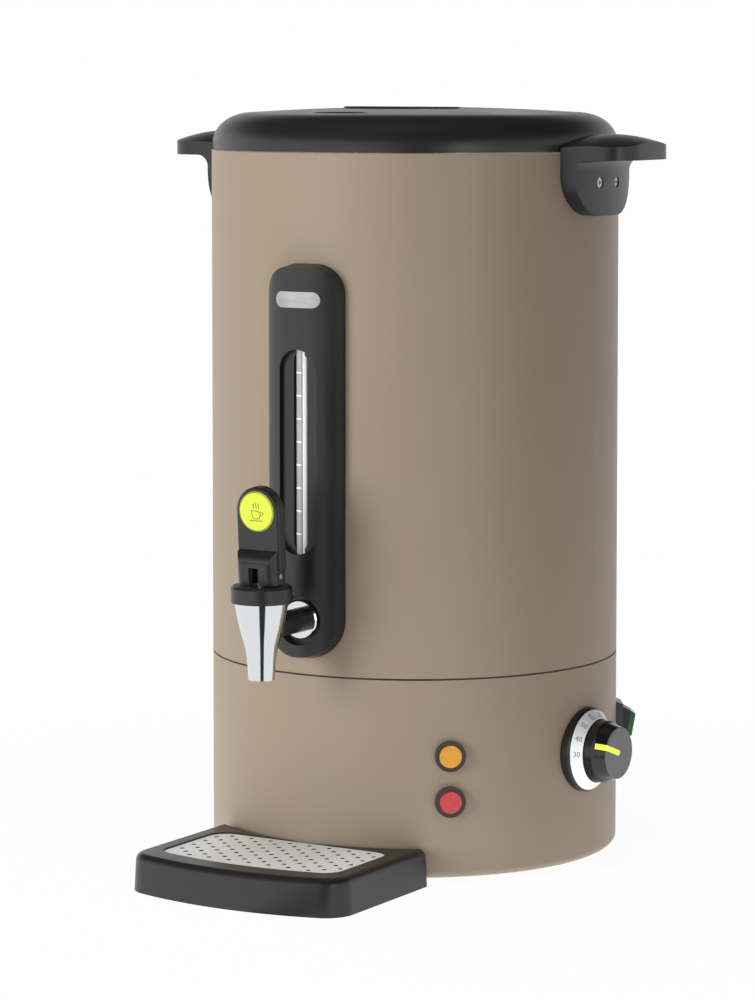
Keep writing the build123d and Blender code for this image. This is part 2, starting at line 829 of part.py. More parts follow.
# ================================================================ handles
def build_handle(side):
    """Grip on one side of the body; side is 1 for the right and -1 for the left."""
    plate_bottom = casing_top - handle_plate_drop
    plate_crown = casing_top + handle_plate_crown
    outer = body_radius + bracket_thickness
    with BuildPart() as bracket:
        with BuildSketch(Plane.XZ):
            with BuildLine():
                Polyline(
                    (outer, plate_bottom - bracket_fillet),
                    (outer, casing_top - bracket_depth),
                    (body_radius + fit_gap, casing_top - bracket_depth),
                    (body_radius + fit_gap, plate_bottom + fit_gap),
                    (outer + bracket_fillet, plate_bottom + fit_gap),
                    (outer + bracket_fillet, plate_bottom),
                )
                RadiusArc(
                    (outer + bracket_fillet, plate_bottom),
                    (outer, plate_bottom - bracket_fillet),
                    -bracket_fillet,
                )
            make_face()
        revolve(axis=Axis.Z)
        with BuildSketch(Plane.YZ) as bracket_front:
            with Locations((0, casing_top - bracket_depth)):
                Rectangle(
                    2 * bracket_half_width, bracket_depth, align=(Align.CENTER, Align.MIN)
                )
            fillet(
                bracket_front.vertices().group_by(Axis.Y)[0], radius=bracket_corner_radius
            )
        extrude(amount=side * handle_reach, mode=Mode.INTERSECT)
    with BuildPart() as handle:
        with BuildSketch(Plane.XY.offset(plate_bottom)) as handle_plan:
            with BuildLine():
                Polyline(
                    (side * (handle_reach - handle_tip_bulge), handle_tip_half_width),
                    (side * handle_taper_start, handle_root_half_width),
                    (side * body_radius * cos(radians(handle_root_bearing)), handle_root_half_width),
                    (side * body_radius * cos(radians(handle_root_bearing)), -handle_root_half_width),
                    (side * handle_taper_start, -handle_root_half_width),
                    (side * (handle_reach - handle_tip_bulge), -handle_tip_half_width),
                )
                ThreePointArc(
                    (side * (handle_reach - handle_tip_bulge), -handle_tip_half_width),
                    (side * handle_reach, 0),
                    (side * (handle_reach - handle_tip_bulge), handle_tip_half_width),
                )
            make_face()
            tips = handle_plan.vertices().sort_by(Axis.X)
            fillet(tips[-2:] if side > 0 else tips[:2], radius=handle_corner_radius)
        extrude(amount=plate_crown - plate_bottom)
        with Locations((side * handle_taper_start, 0, plate_crown - handle_crown_radius)):
            Sphere(handle_crown_radius, mode=Mode.INTERSECT)
        add(bracket.part)
        Cylinder(
            body_radius + fit_gap,
            plate_crown,
            align=(Align.CENTER, Align.CENTER, Align.MIN),
            mode=Mode.SUBTRACT,
        )
        with BuildSketch(Plane.XY.offset(casing_top - notch_drop)):
            with Locations((side * body_radius, side * handle_root_half_width)):
                Rectangle(body_radius, 2 * notch_length, mode=Mode.ADD)
            Circle(body_radius + notch_depth, mode=Mode.INTERSECT)
        extrude(amount=notch_height, mode=Mode.SUBTRACT)
        for bearing in handle_screw_bearings:
            if side * sin(radians(bearing)) > 0:
                with Locations(wall_plane(bearing, handle_screw_z, outer)):
                    CounterBoreHole(
                        radius=handle_screw_radius + fit_gap,
                        counter_bore_radius=handle_head_radius + fit_gap,
                        counter_bore_depth=handle_counterbore_depth,
                        depth=bracket_thickness * 2,
                    )
    return handle


for name, side in (("handle_right", 1), ("handle_left", -1)):
    save(build_handle(side), name)

head_seat = body_radius + bracket_thickness - handle_counterbore_depth
plate_outer = body_radius - casing_wall - fit_gap
handle_screw_length = head_seat - plate_outer + backing_plate_thickness + handle_screw_tail
with BuildPart() as handle_screws:
    for bearing in handle_screw_bearings:
        with Locations(wall_plane(bearing, handle_screw_z, head_seat)):
            Cylinder(
                handle_head_radius, handle_head_height, align=(Align.CENTER, Align.CENTER, Align.MIN)
            )
            Cylinder(
                handle_screw_radius, handle_screw_length, align=(Align.CENTER, Align.CENTER, Align.MAX)
            )
        with Locations(wall_plane(bearing, handle_screw_z, head_seat + handle_head_height)):
            Box(
                handle_head_radius, screw_recess_width, screw_recess_depth * 2, mode=Mode.SUBTRACT
            )
            Box(
                screw_recess_width, handle_head_radius, screw_recess_depth * 2, mode=Mode.SUBTRACT
            )
save(handle_screws, "handle_screws")

# Curved nut plates inside the casing, one behind each handle.
with BuildPart() as backing_plates:
    with BuildSketch(Plane.XY.offset(handle_screw_z - backing_plate_height / 2)):
        Circle(plate_outer)
        Circle(plate_outer - backing_plate_thickness, mode=Mode.SUBTRACT)
        Rectangle(2 * body_radius, 2 * backing_plate_half_width, mode=Mode.INTERSECT)
    extrude(amount=backing_plate_height)
    for bearing in handle_screw_bearings:
        with Locations(wall_plane(bearing, handle_screw_z)):
            Hole(radius=handle_screw_radius + fit_gap, depth=jacket_gap)
save(backing_plates, "backing_plates")

# ================================================================ level gauge
crown_axis = body_radius + bezel_crown - bezel_crown_radius  # distance of the crown's axis, in front
window_bottom = tap_height + window_above_tap
window_top = bezel_top - window_below_top
window_length = window_top - window_bottom
window_middle = (window_bottom + window_top) / 2
tube_axis = body_radius + tube_proud
tube_bottom = window_bottom - holder_window_gap - tube_seat_length
tube_top = window_top + holder_window_gap + tube_seat_length


def bezel_shape(inset, crown_radius):
    """Rounded outline of the bezel, drawn in all round by an inset, under its crowned front."""
    back = body_radius * cos(radians(bezel_back_bearing))
    with BuildPart() as shape:
        for distance, narrower in ((back, 0), (body_radius + bezel_crown + bezel_wall, bezel_draft)):
            half_width = bezel_half_width - inset - narrower
            low, high = bezel_bottom + inset + narrower, bezel_top - inset - narrower
            with BuildSketch(front_plane(distance)) as outline:
                with Locations((0, (low + high) / 2)):
                    Rectangle(2 * half_width, high - low)
                fillet(
                    outline.vertices().group_by(Axis.Y)[0],
                    radius=bezel_bottom_corner - inset - narrower,
                )
                fillet(
                    outline.vertices().group_by(Axis.Y)[-1],
                    radius=bezel_top_corner - inset - narrower,
                )
        loft()
        with Locations((0, -crown_axis, 0)):
            Cylinder(
                crown_radius,
                cut_length,
                align=(Align.CENTER, Align.CENTER, Align.MIN),
                mode=Mode.INTERSECT,
            )
    return shape.part


# Hollow behind the bezel's skin, apart from the well of the window, the pocket and the bosses.
with BuildPart() as bezel_hollow:
    add(bezel_shape(bezel_wall, bezel_crown_radius - bezel_wall))
    with BuildSketch(front_plane(body_radius + window_floor - floor_wall)):
        with Locations((0, window_middle)):
            SlotOverall(window_length + 2 * floor_wall, window_width + 2 * floor_wall, rotation=90)
    extrude(amount=bezel_crown, mode=Mode.SUBTRACT)
    with BuildSketch(front_plane(body_radius + pocket_floor - floor_wall)):
        with Locations((0, tap_height)):
            Circle(pocket_radius + floor_wall)
    extrude(amount=bezel_crown, mode=Mode.SUBTRACT)
    for bearing in bezel_screw_bearings:
        with Locations(wall_plane(bearing, bezel_screw_z, body_radius + fit_gap)):
            Cylinder(
                bezel_boss_radius,
                bezel_crown,
                align=(Align.CENTER, Align.CENTER, Align.MIN),
                mode=Mode.SUBTRACT,
            )

with BuildPart() as gauge_bezel:
    add(bezel_shape(0, bezel_crown_radius))
    add(bezel_hollow.part, mode=Mode.SUBTRACT)
    Cylinder(
        body_radius + fit_gap,
        cut_length,
        align=(Align.CENTER, Align.CENTER, Align.MIN),
        mode=Mode.SUBTRACT,
    )
    with BuildSketch(front_plane(body_radius + window_floor)):
        with Locations((0, window_middle)):
            SlotOverall(window_length, window_width, rotation=90)
    extrude(amount=bezel_crown, mode=Mode.SUBTRACT)
    with BuildSketch(front_plane(body_radius)):
        with Locations((0, window_middle)):
            SlotOverall(window_length - 2 * tube_slot_inset, tube_slot_width, rotation=90)
    extrude(amount=bezel_crown, mode=Mode.SUBTRACT)
    with Locations((0, -tube_axis, (tube_bottom + tube_top) / 2)):
        Cylinder(tube_radius + run_gap, tube_top - tube_bottom, mode=Mode.SUBTRACT)
    with BuildSketch(front_plane(body_radius + pocket_floor)):
        with Locations((0, tap_height)):
            Circle(pocket_radius)
    extrude(amount=bezel_crown, mode=Mode.SUBTRACT)
    with BuildSketch(front_plane(body_radius)):
        with Locations((0, tap_height)):
            Circle(shank_radius + fit_gap)
    extrude(amount=bezel_crown, mode=Mode.SUBTRACT)
    for bearing in bezel_screw_bearings:
        with Locations(wall_plane(bearing, bezel_screw_z, body_radius + fit_gap)):
            Cylinder(
                panel_screw_radius + fit_gap,
                2 * panel_screw_length - 2 * casing_wall,
                mode=Mode.SUBTRACT,
            )
save(gauge_bezel, "gauge_bezel")

# Blank plate that follows the crown of the bezel.
with BuildPart() as label_plate:
    with BuildSketch(front_plane(body_radius)):
        with Locations((0, bezel_top - label_below_top)):
            SlotOverall(label_length, label_width)
    extrude(amount=bezel_crown * 2)
    with BuildSketch(
        Plane.XY.offset(bezel_top - label_below_top - label_width), mode=Mode.PRIVATE
    ) as shell:
        with Locations((0, -crown_axis)):
            Circle(bezel_crown_radius + label_thickness)
            Circle(bezel_crown_radius, mode=Mode.SUBTRACT)
    extrude(shell.sketch, amount=2 * label_width, mode=Mode.INTERSECT)
save(label_plate, "label_plate")

with BuildPart() as gauge_tube:
    with BuildSketch(Plane.XY.offset(tube_bottom)):
        with Locations((0, -tube_axis)):
            Circle(tube_radius)
            Circle(tube_radius - tube_wall, mode=Mode.SUBTRACT)
    extrude(amount=tube_top - tube_bottom)
save(gauge_tube, "gauge_tube")

# Graduated strip between the casing and the tube.
with BuildPart() as gauge_strip:
    with BuildSketch(front_plane(body_radius + strip_standoff)):
        with Locations((0, window_middle)):
            Rectangle(tube_slot_width + floor_wall, window_length - 2 * tube_slot_inset)
    extrude(amount=strip_thickness - fit_gap)
save(gauge_strip, "gauge_strip")


def holder_block(low, high):
    """Block behind the bezel's crown, seated on the casing, between two heights."""
    with BuildPart() as block:
        with BuildSketch(Plane.XY.offset(low)):
            with Locations((0, -crown_axis)):
                Circle(bezel_crown_radius - bezel_wall - holder_front_gap)
            with Locations((0, -body_radius)):
                Rectangle(2 * holder_half_width, 4 * bezel_crown, mode=Mode.INTERSECT)
            Circle(body_radius + fit_gap, mode=Mode.SUBTRACT)
        extrude(amount=high - low)
    return block.part


seal_bore = tube_radius + seal_sleeve_wall
lower_holder_top = window_bottom - floor_wall - fit_gap
with BuildPart() as tube_foot:
    add(holder_block(tap_height + pocket_radius + floor_wall + fit_gap, lower_holder_top))
    with BuildSketch(front_plane(body_radius - casing_wall)):
        with Locations((0, tap_height)):
            Circle(holder_ring_radius)
        with Locations((0, tap_height + holder_ring_radius / 2)):
            Rectangle(
                2 * holder_half_width,
                pocket_radius + 2 * floor_wall - holder_ring_radius / 2,
                align=(Align.CENTER, Align.MIN),
            )
    extrude(amount=casing_wall + pocket_floor - floor_wall - fit_gap)
    Cylinder(
        body_radius + fit_gap,
        bezel_top,
        align=(Align.CENTER, Align.CENTER, Align.MIN),
        mode=Mode.SUBTRACT,
    )
    with BuildSketch(front_plane(body_radius - casing_wall)):
        with Locations((0, tap_height)):
            Circle(shank_radius + fit_gap)
    extrude(amount=bezel_crown, mode=Mode.SUBTRACT)
    with Locations((0, -tube_axis, tube_bottom - fit_gap)):
        Cylinder(
            seal_bore + fit_gap,
            bezel_top,
            align=(Align.CENTER, Align.CENTER, Align.MIN),
            mode=Mode.SUBTRACT,
        )
    with Locations((0, -body_radius - pocket_floor / 2 + fit_gap, tap_height)):
        Cylinder(
            port_radius,
            tube_bottom - tap_height + fit_gap,
            align=(Align.CENTER, Align.CENTER, Align.MIN),
            mode=Mode.SUBTRACT,
        )
save(tube_foot, "tube_foot")

upper_holder_bottom = window_top + floor_wall + fit_gap
with BuildPart() as tube_cap:
    add(holder_block(upper_holder_bottom, upper_holder_bottom + holder_height))
    with Locations((0, -tube_axis, tube_top + fit_gap)):
        Cylinder(
            seal_bore + fit_gap,
            bezel_top,
            align=(Align.CENTER, Align.CENTER, Align.MAX),
            mode=Mode.SUBTRACT,
        )
save(tube_cap, "tube_cap")

with BuildPart() as tube_seals:
    for low, high in (
        (tube_bottom, lower_holder_top - fit_gap),
        (upper_holder_bottom + fit_gap, tube_top),
    ):
        with BuildSketch(Plane.XY.offset(low)):
            with Locations((0, -tube_axis)):
                Circle(seal_bore)
                Circle(tube_radius + fit_gap, mode=Mode.SUBTRACT)
        extrude(amount=high - low)
    Cylinder(body_radius + fit_gap, cut_length, mode=Mode.SUBTRACT)
save(tube_seals, "tube_seals")

# ================================================================ tap line through the walls
shank_front = tap_reach - chamber_floor_radius - shank_entry
with BuildPart() as tap_shank:
    with BuildSketch(front_plane(tank_radius - shank_inside)):
        with Locations((0, tap_height)):
            Circle(shank_radius)
            Circle(shank_bore, mode=Mode.SUBTRACT)
    extrude(amount=shank_front - tank_radius + shank_inside)
    with Locations((0, -body_radius - pocket_floor / 2 + fit_gap, tap_height)):
        Cylinder(
            port_radius,
            shank_radius * 2,
            align=(Align.CENTER, Align.CENTER, Align.MIN),
            mode=Mode.SUBTRACT,
        )
save(tap_shank, "tap_shank")

with BuildPart() as tap_nut:
    with BuildSketch(front_plane(body_radius + pocket_floor)):
        with Locations((0, tap_height)):
            Circle(tap_nut_radius)
            Circle(shank_radius + fit_gap, mode=Mode.SUBTRACT)
    extrude(amount=tap_nut_thickness)
    chamfer(
        tap_nut.faces().sort_by(Axis.Y)[0].edges().sort_by(SortBy.LENGTH)[-1],
        length=tap_nut_chamfer,
    )
save(tap_nut, "tap_nut")


def shank_ring(inner_distance, outer_distance, back_wall, front_wall):
    """Ring round the shank between two distances, trimmed to the curve of one or two walls."""
    with BuildPart() as ring:
        with BuildSketch(front_plane(inner_distance)):
            with Locations((0, tap_height)):
                Circle(washer_radius)
                Circle(shank_radius + fit_gap, mode=Mode.SUBTRACT)
        extrude(amount=outer_distance - inner_distance)
        if front_wall:
            Cylinder(front_wall - fit_gap, cut_length, mode=Mode.INTERSECT)
        if back_wall:
            Cylinder(back_wall + fit_gap, cut_length, mode=Mode.SUBTRACT)
    return ring


save(
    shank_ring(tank_radius - washer_radius, body_radius, tank_radius, body_radius - casing_wall),
    "shank_spacer",
)
washer_back = sqrt((tank_radius - tank_wall) ** 2 - washer_radius**2) - washer_thickness
save(shank_ring(washer_back, tank_radius, None, tank_radius - tank_wall), "shank_washer")

with BuildPart() as lock_nut:
    with BuildSketch(front_plane(washer_back)):
        with Locations((0, tap_height)):
            RegularPolygon(lock_nut_radius, 6)
            Circle(shank_radius + fit_gap, mode=Mode.SUBTRACT)
    extrude(amount=-lock_nut_thickness)
save(lock_nut, "lock_nut")

# ================================================================ tap
cup_bottom = tap_height + cup_top_above_line - cup_height
cup_top = cup_bottom + cup_height
seat_z = cup_bottom + seat_height
tap_point = (0, -tap_reach, 0)
tap_section = Plane(origin=tap_point, x_dir=(1, 0, 0), z_dir=(0, -1, 0))
tap_axis = Axis(tap_point, (0, 0, 1))
with BuildPart() as tap_cup:
    with BuildSketch(tap_section):
        with BuildLine():
            Spline(*[(radius, cup_bottom + height) for height, radius in cup_profile])
            Polyline(
                (cup_profile[-1][1], cup_top),
                (chamber_neck_radius, cup_top),
                (chamber_neck_radius, cup_bottom + chamber_neck_height),
                (chamber_floor_radius, seat_z),
                (seat_bore, seat_z),
                (seat_bore, seat_z - seat_land),
                (spout_bore, seat_z - seat_land),
                (spout_bore, cup_bottom),
                (cup_profile[0][1], cup_bottom),
            )
        make_face()
    revolve(axis=tap_axis)
    with BuildSketch(front_plane(shank_front + fit_gap)):
        with Locations((0, tap_height)):
            Circle(shank_radius + fit_gap)
    extrude(amount=-2 * bonnet_radius, mode=Mode.SUBTRACT)
save(tap_cup, "tap_cup")

bonnet_top = cup_top + bonnet_height
spring_seat = cup_top + spring_seat_above_cup
with BuildPart() as tap_bonnet:
    with BuildSketch(tap_section):
        with BuildLine():
            Polyline(
                (stem_radius + run_gap, bonnet_top),
                (bonnet_radius - bonnet_chamfer, bonnet_top),
                (bonnet_radius, bonnet_top - bonnet_chamfer),
                (bonnet_radius, cup_top),
                (chamber_neck_radius - fit_gap, cup_top),
                (chamber_neck_radius - fit_gap, cup_top - bonnet_skirt_depth),
                (spring_bore_radius, cup_top - bonnet_skirt_depth),
                (spring_bore_radius, spring_seat),
                (stem_radius + run_gap, spring_seat),
                close=True,
            )
        make_face()
    revolve(axis=tap_axis)
save(tap_bonnet, "tap_bonnet")

pin_z = bonnet_top + pin_above_bonnet
stem_foot = seat_z + stem_foot_above_seat
stem_flange_bottom = seat_z + valve_seal_height + fit_gap
stem_flange_top = stem_flange_bottom + stem_flange_thickness
with BuildPart() as valve_stem:
    with BuildSketch(tap_section):
        with BuildLine():
            Polyline(
                (0, stem_foot),
                (stem_radius, stem_foot),
                (stem_radius, stem_flange_bottom),
                (stem_flange_radius, stem_flange_bottom),
                (stem_flange_radius, stem_flange_top),
                (stem_radius, stem_flange_top),
                (stem_radius, pin_z + stem_above_pin),
                (0, pin_z + stem_above_pin),
                close=True,
            )
        make_face()
    revolve(axis=tap_axis)
    with Locations(Plane(origin=(0, -tap_reach, pin_z), z_dir=(1, 0, 0))):
        Cylinder(pin_radius + fit_gap, 4 * stem_radius, mode=Mode.SUBTRACT)
save(valve_stem, "valve_stem")

with BuildPart() as valve_seal:
    with BuildSketch(tap_section):
        with BuildLine():
            Polyline(
                (0, seat_z),
                (valve_seal_radius, seat_z),
                (valve_seal_radius, seat_z + valve_seal_height / 2),
                (valve_seal_top_radius, seat_z + valve_seal_height),
                (stem_radius + fit_gap, seat_z + valve_seal_height),
                (stem_radius + fit_gap, stem_foot - fit_gap),
                (0, stem_foot - fit_gap),
                close=True,
            )
        make_face()
    revolve(axis=tap_axis)
save(valve_seal, "valve_seal")

spring_bottom = stem_flange_top + spring_wire_radius + fit_gap
spring_length = spring_seat - spring_wire_radius - fit_gap - spring_bottom
with BuildPart() as valve_spring:
    with BuildLine(Plane(origin=(0, -tap_reach, spring_bottom))) as spring_path:
        Helix(pitch=spring_length / spring_turns, height=spring_length, radius=spring_mean_radius)
    with BuildSketch(Plane(origin=spring_path.line @ 0, z_dir=spring_path.line % 0)):
        Circle(spring_wire_radius)
    sweep(path=spring_path.line, is_frenet=True)
save(valve_spring, "valve_spring")

with BuildPart() as lever_pin:
    with BuildSketch(Plane.YZ.offset(-neck_half_width - pin_proud)):
        with Locations((-tap_reach, pin_z)):
            Circle(pin_radius)
    extrude(amount=2 * (neck_half_width + pin_proud))
save(lever_pin, "lever_pin")

# ================================================================ lever
neck_bottom = bonnet_top + heel_gap
neck_top = neck_bottom + neck_height
paddle_plane = Plane(
    origin=(0, -tap_reach - paddle_front, neck_top), x_dir=(1, 0, 0), z_dir=(0, -1, 0)
).rotated((paddle_lean, 0, 0))


def neck_outline(front):
    """Plan of the lever's neck, round the tap's axis, with well rounded front corners."""
    with BuildSketch(mode=Mode.PRIVATE) as outline:
        with Locations((0, -tap_reach + (neck_rear - front) / 2)):
            Rectangle(2 * neck_half_width, neck_rear + front)
        ends = outline.vertices().group_by(Axis.Y)
        fillet(ends[0], radius=neck_corner_radius)
        fillet(outline.vertices().group_by(Axis.Y)[-1], radius=neck_rear_corner_radius)
    return outline.sketch.face()


with BuildPart() as neck:
    with BuildSketch(Plane.XY.offset(neck_bottom)):
        add(neck_outline(neck_front_bottom))
    with BuildSketch(Plane.XY.offset(neck_top)):
        add(neck_outline(neck_front))
    loft()

# Hollow curve between the ledge on top of the neck and the face of the paddle.
cove_lean = cove_height * tan(radians(paddle_lean))
cove_radius = (cove_depth**2 + cove_height**2) / (2 * cove_depth)
with BuildPart() as cove:
    with BuildSketch(Plane.XY.offset(neck_top)):
        add(neck_outline(neck_front))
    extrude(amount=cove_height)
    with BuildSketch(Plane.YZ.offset(-neck_half_width)):
        with BuildLine():
            Polyline(
                (-tap_reach - paddle_front - cove_depth, neck_top),
                (-tap_reach, neck_top),
                (-tap_reach, neck_top + cove_height),
                (-tap_reach - paddle_front - cove_lean, neck_top + cove_height),
            )
            RadiusArc(
                (-tap_reach - paddle_front - cove_lean, neck_top + cove_height),
                (-tap_reach - paddle_front - cove_depth, neck_top),
                -cove_radius,
            )
        make_face()
    extrude(amount=2 * neck_half_width, mode=Mode.INTERSECT)

with BuildPart() as lever:
    with BuildSketch(paddle_plane) as paddle_outline:
        with Locations((0, -paddle_root)):
            Rectangle(
                2 * paddle_half_width,
                paddle_root + paddle_height - paddle_half_width,
                align=(Align.CENTER, Align.MIN),
            )
        with Locations((0, paddle_height - paddle_half_width)):
            Circle(paddle_half_width)
    extrude(amount=-paddle_thickness)
    fillet(
        lever.faces().sort_by(Axis.Y)[0].edges(),
        radius=paddle_edge_radius,
    )
    add(neck.part)
    add(cove.part)
    with BuildSketch(Plane.XY.offset(neck_bottom - heel_gap)):
        with Locations((0, -tap_reach + cavity_rear)):
            Rectangle(
                2 * cavity_half_width,
                cavity_rear + 2 * neck_front,
                align=(Align.CENTER, Align.MAX),
            )
    extrude(amount=heel_gap + cavity_height, mode=Mode.SUBTRACT)
    with Locations(Plane(origin=(0, -tap_reach, pin_z), z_dir=(1, 0, 0))):
        Cylinder(pin_radius + pin_gap, 4 * neck_half_width, mode=Mode.SUBTRACT)
save(lever, "lever")

with BuildPart() as lever_badge:
    with BuildSketch(paddle_plane):
        with Locations((0, paddle_height - badge_below_top)):
            Circle(badge_radius)
    extrude(amount=badge_thickness)
    fillet(
        lever_badge.faces().sort_by(Axis.Y)[0].edges(),
        radius=badge_thickness / 2,
    )
save(lever_badge, "lever_badge")

# ================================================================ thermostat, dial and knob
# Distances along the knob's axis are counted outwards from the wall of the casing.
with BuildPart() as dial_base:
    with BuildSketch(knob_wall_plane.offset(-dial_base_proud)):
        Circle(dial_base_radius)
    extrude(amount=2 * dial_base_proud)
    chamfer(dial_base.edges().sort_by(knob_axis)[-1], length=dial_base_chamfer)
    with BuildSketch(knob_wall_plane.offset(dial_recess_floor)):
        Circle(dial_ring_inner)
    extrude(amount=dial_base_proud, mode=Mode.SUBTRACT)
    with Locations(knob_wall_plane.offset(dial_recess_floor)):
        Hole(radius=bush_radius + fit_gap)
        with Locations(*thermostat_screw_points):
            Hole(radius=panel_screw_radius + fit_gap)
    Cylinder(body_radius + fit_gap, cut_length, mode=Mode.SUBTRACT)
save(dial_base, "dial_base")

knob_section = Plane(
    origin=knob_wall_plane.origin, x_dir=knob_wall_plane.x_dir, z_dir=-knob_wall_plane.y_dir
)
with BuildPart() as dial_ring:
    with BuildSketch(knob_section):
        with BuildLine():
            Polyline(
                (dial_ring_inner, dial_base_proud + fit_gap),
                (dial_ring_outer, dial_base_proud + fit_gap),
                (dial_ring_outer, dial_base_proud + dial_ring_edge),
                (dial_ring_inner, dial_base_proud + dial_ring_edge + dial_ring_rise),
                close=True,
            )
        make_face()
    revolve(axis=knob_axis)
save(dial_ring, "dial_ring")

with BuildPart() as thermostat_body:
    with BuildSketch(knob_wall_plane.offset(-casing_wall - thermostat_standoff)):
        Rectangle(2 * thermostat_half_width, 2 * thermostat_half_height)
    extrude(amount=-thermostat_depth)
    with BuildSketch(knob_wall_plane.offset(-casing_wall - thermostat_standoff)):
        Circle(bush_radius)
    extrude(amount=casing_wall + thermostat_standoff + bush_front)
    with Locations(knob_wall_plane.offset(bush_front)):
        Hole(radius=spindle_radius + pin_gap, depth=bush_front - spindle_start + run_gap)
        with Locations(*thermostat_screw_points):
            Hole(
                radius=panel_screw_radius + fit_gap,
                depth=bush_front + panel_screw_length,
            )
save(thermostat_body, "thermostat_body")

# Identical screws: through the casing into the bezel's bosses, and through the dial base.
panel_screw_planes = [
    Plane(
        origin=wall_plane(bearing, bezel_screw_z, plate_outer).origin,
        z_dir=-wall_plane(bearing, bezel_screw_z).z_dir,
    )
    for bearing in bezel_screw_bearings
] + [
    Plane(
        origin=knob_wall_plane.from_local_coords((*point, dial_recess_floor)),
        z_dir=knob_wall_plane.z_dir,
    )
    for point in thermostat_screw_points
]
with BuildPart() as panel_screws:
    with Locations(*panel_screw_planes):
        Cylinder(
            panel_head_radius, panel_head_height, align=(Align.CENTER, Align.CENTER, Align.MIN)
        )
        Cylinder(
            panel_screw_radius, panel_screw_length, align=(Align.CENTER, Align.CENTER, Align.MAX)
        )
save(panel_screws, "panel_screws")

with BuildPart() as thermostat_spindle:
    with BuildSketch(knob_wall_plane.offset(spindle_start)):
        Circle(spindle_radius)
    extrude(amount=spindle_end - spindle_start)
    with BuildSketch(knob_wall_plane.offset(bush_front + knob_back_gap)):
        with Locations((0, spindle_radius)):
            Rectangle(2 * spindle_radius, spindle_radius)
    extrude(amount=spindle_end, mode=Mode.SUBTRACT)
save(thermostat_spindle, "thermostat_spindle")

knob_back = dial_recess_floor + knob_back_gap


def pointer_slab(depth, gap, proud):
    """Bar that runs from the middle of the knob's face over its edge and down its side."""
    foot = knob_skirt_front + 2 * knob_edge_radius
    half_width = pointer_width / 2 + gap
    with BuildPart() as slab:
        with BuildSketch(knob_section):
            with BuildLine():
                Polyline(
                    (-gap, knob_proud + proud),
                    (knob_face_radius + proud, knob_proud + proud),
                    (knob_waist_radius + proud, foot),
                    (knob_waist_radius - depth, foot),
                    (knob_face_radius - depth, knob_proud - depth),
                    (-gap, knob_proud - depth),
                    close=True,
                )
            make_face()
        extrude(amount=half_width, both=True)
        fillet(slab.edges().filter_by(knob_axis), radius=half_width - pointer_end_flat)
    return slab.part.rotate(knob_axis, 180 - pointer_angle)


with BuildPart() as knob:
    with BuildSketch(knob_section) as knob_profile:
        with BuildLine():
            Polyline(
                (knob_hub_radius - knob_wall, knob_hub_back),
                (knob_hub_radius, knob_hub_back),
                (knob_hub_radius, knob_proud - knob_wall),
                (knob_face_radius - knob_wall, knob_proud - knob_wall),
                (knob_skirt_radius - knob_wall, knob_back),
                (knob_skirt_radius, knob_back),
                (knob_skirt_radius, knob_skirt_front),
                (knob_waist_radius, knob_skirt_front + knob_edge_radius),
                (knob_face_radius, knob_proud),
                (0, knob_proud),
                (0, knob_hub_back),
                close=True,
            )
        make_face()
        fillet(
            knob_profile.vertices().group_by(Axis.Y)[-1].sort_by(Axis.X)[-1],
            radius=knob_edge_radius,
        )
    revolve(axis=knob_axis)
    with BuildSketch(knob_wall_plane):
        Circle(spindle_radius + fit_gap)
        with Locations((0, spindle_radius + fit_gap)):
            Rectangle(3 * spindle_radius, spindle_radius, mode=Mode.SUBTRACT)
    extrude(amount=spindle_end + fit_gap, mode=Mode.SUBTRACT)
    add(
        pointer_slab(pointer_depth + fit_gap, fit_gap, knob_wall),
        mode=Mode.SUBTRACT,
    )
save(knob, "knob")

with BuildPart() as knob_pointer:
    add(pointer_slab(pointer_depth, 0, pointer_proud))
save(knob_pointer, "knob_pointer")

# ================================================================ pilot lamps
with BuildPart() as lamp_bezels:
    for height in lamp_heights.values():
        plane = wall_plane(lamp_bearing, height)
        with BuildSketch(plane.offset(-lamp_proud)):
            Circle(lamp_flange_radius)
        extrude(amount=2 * lamp_proud)
    Cylinder(body_radius + fit_gap, cut_length, mode=Mode.SUBTRACT)
    for height in lamp_heights.values():
        plane = wall_plane(lamp_bearing, height)
        with BuildSketch(plane.offset(lamp_proud / 2)):
            Circle(lamp_body_radius)
        extrude(amount=-lamp_body_depth)
        with Locations(plane.offset(lamp_proud)):
            CounterBoreHole(
                radius=lamp_body_radius - lamp_wall,
                counter_bore_radius=lens_radius + 2 * fit_gap,
                counter_bore_depth=lens_proud - lens_dome,
                depth=lamp_body_depth,
            )
save(lamp_bezels, "lamp_bezels")


def build_lens(height):
    """Lens of a lamp: a rounded flange in the bezel's counterbore with a plug behind it."""
    seat = wall_plane(lamp_bearing, height).offset(lamp_proud - lens_proud + lens_dome + fit_gap)
    with BuildPart() as lens:
        with BuildSketch(seat):
            Circle(lens_radius)
        extrude(amount=lens_proud)
        fillet(lens.edges().sort_by(Axis(seat.origin, seat.z_dir))[-1], radius=lens_dome)
        with BuildSketch(seat):
            Circle(lens_plug_radius)
        extrude(amount=-lens_plug_depth)
    return lens


for name, height in lamp_heights.items():
    save(build_lens(height), f"{name}_lens")

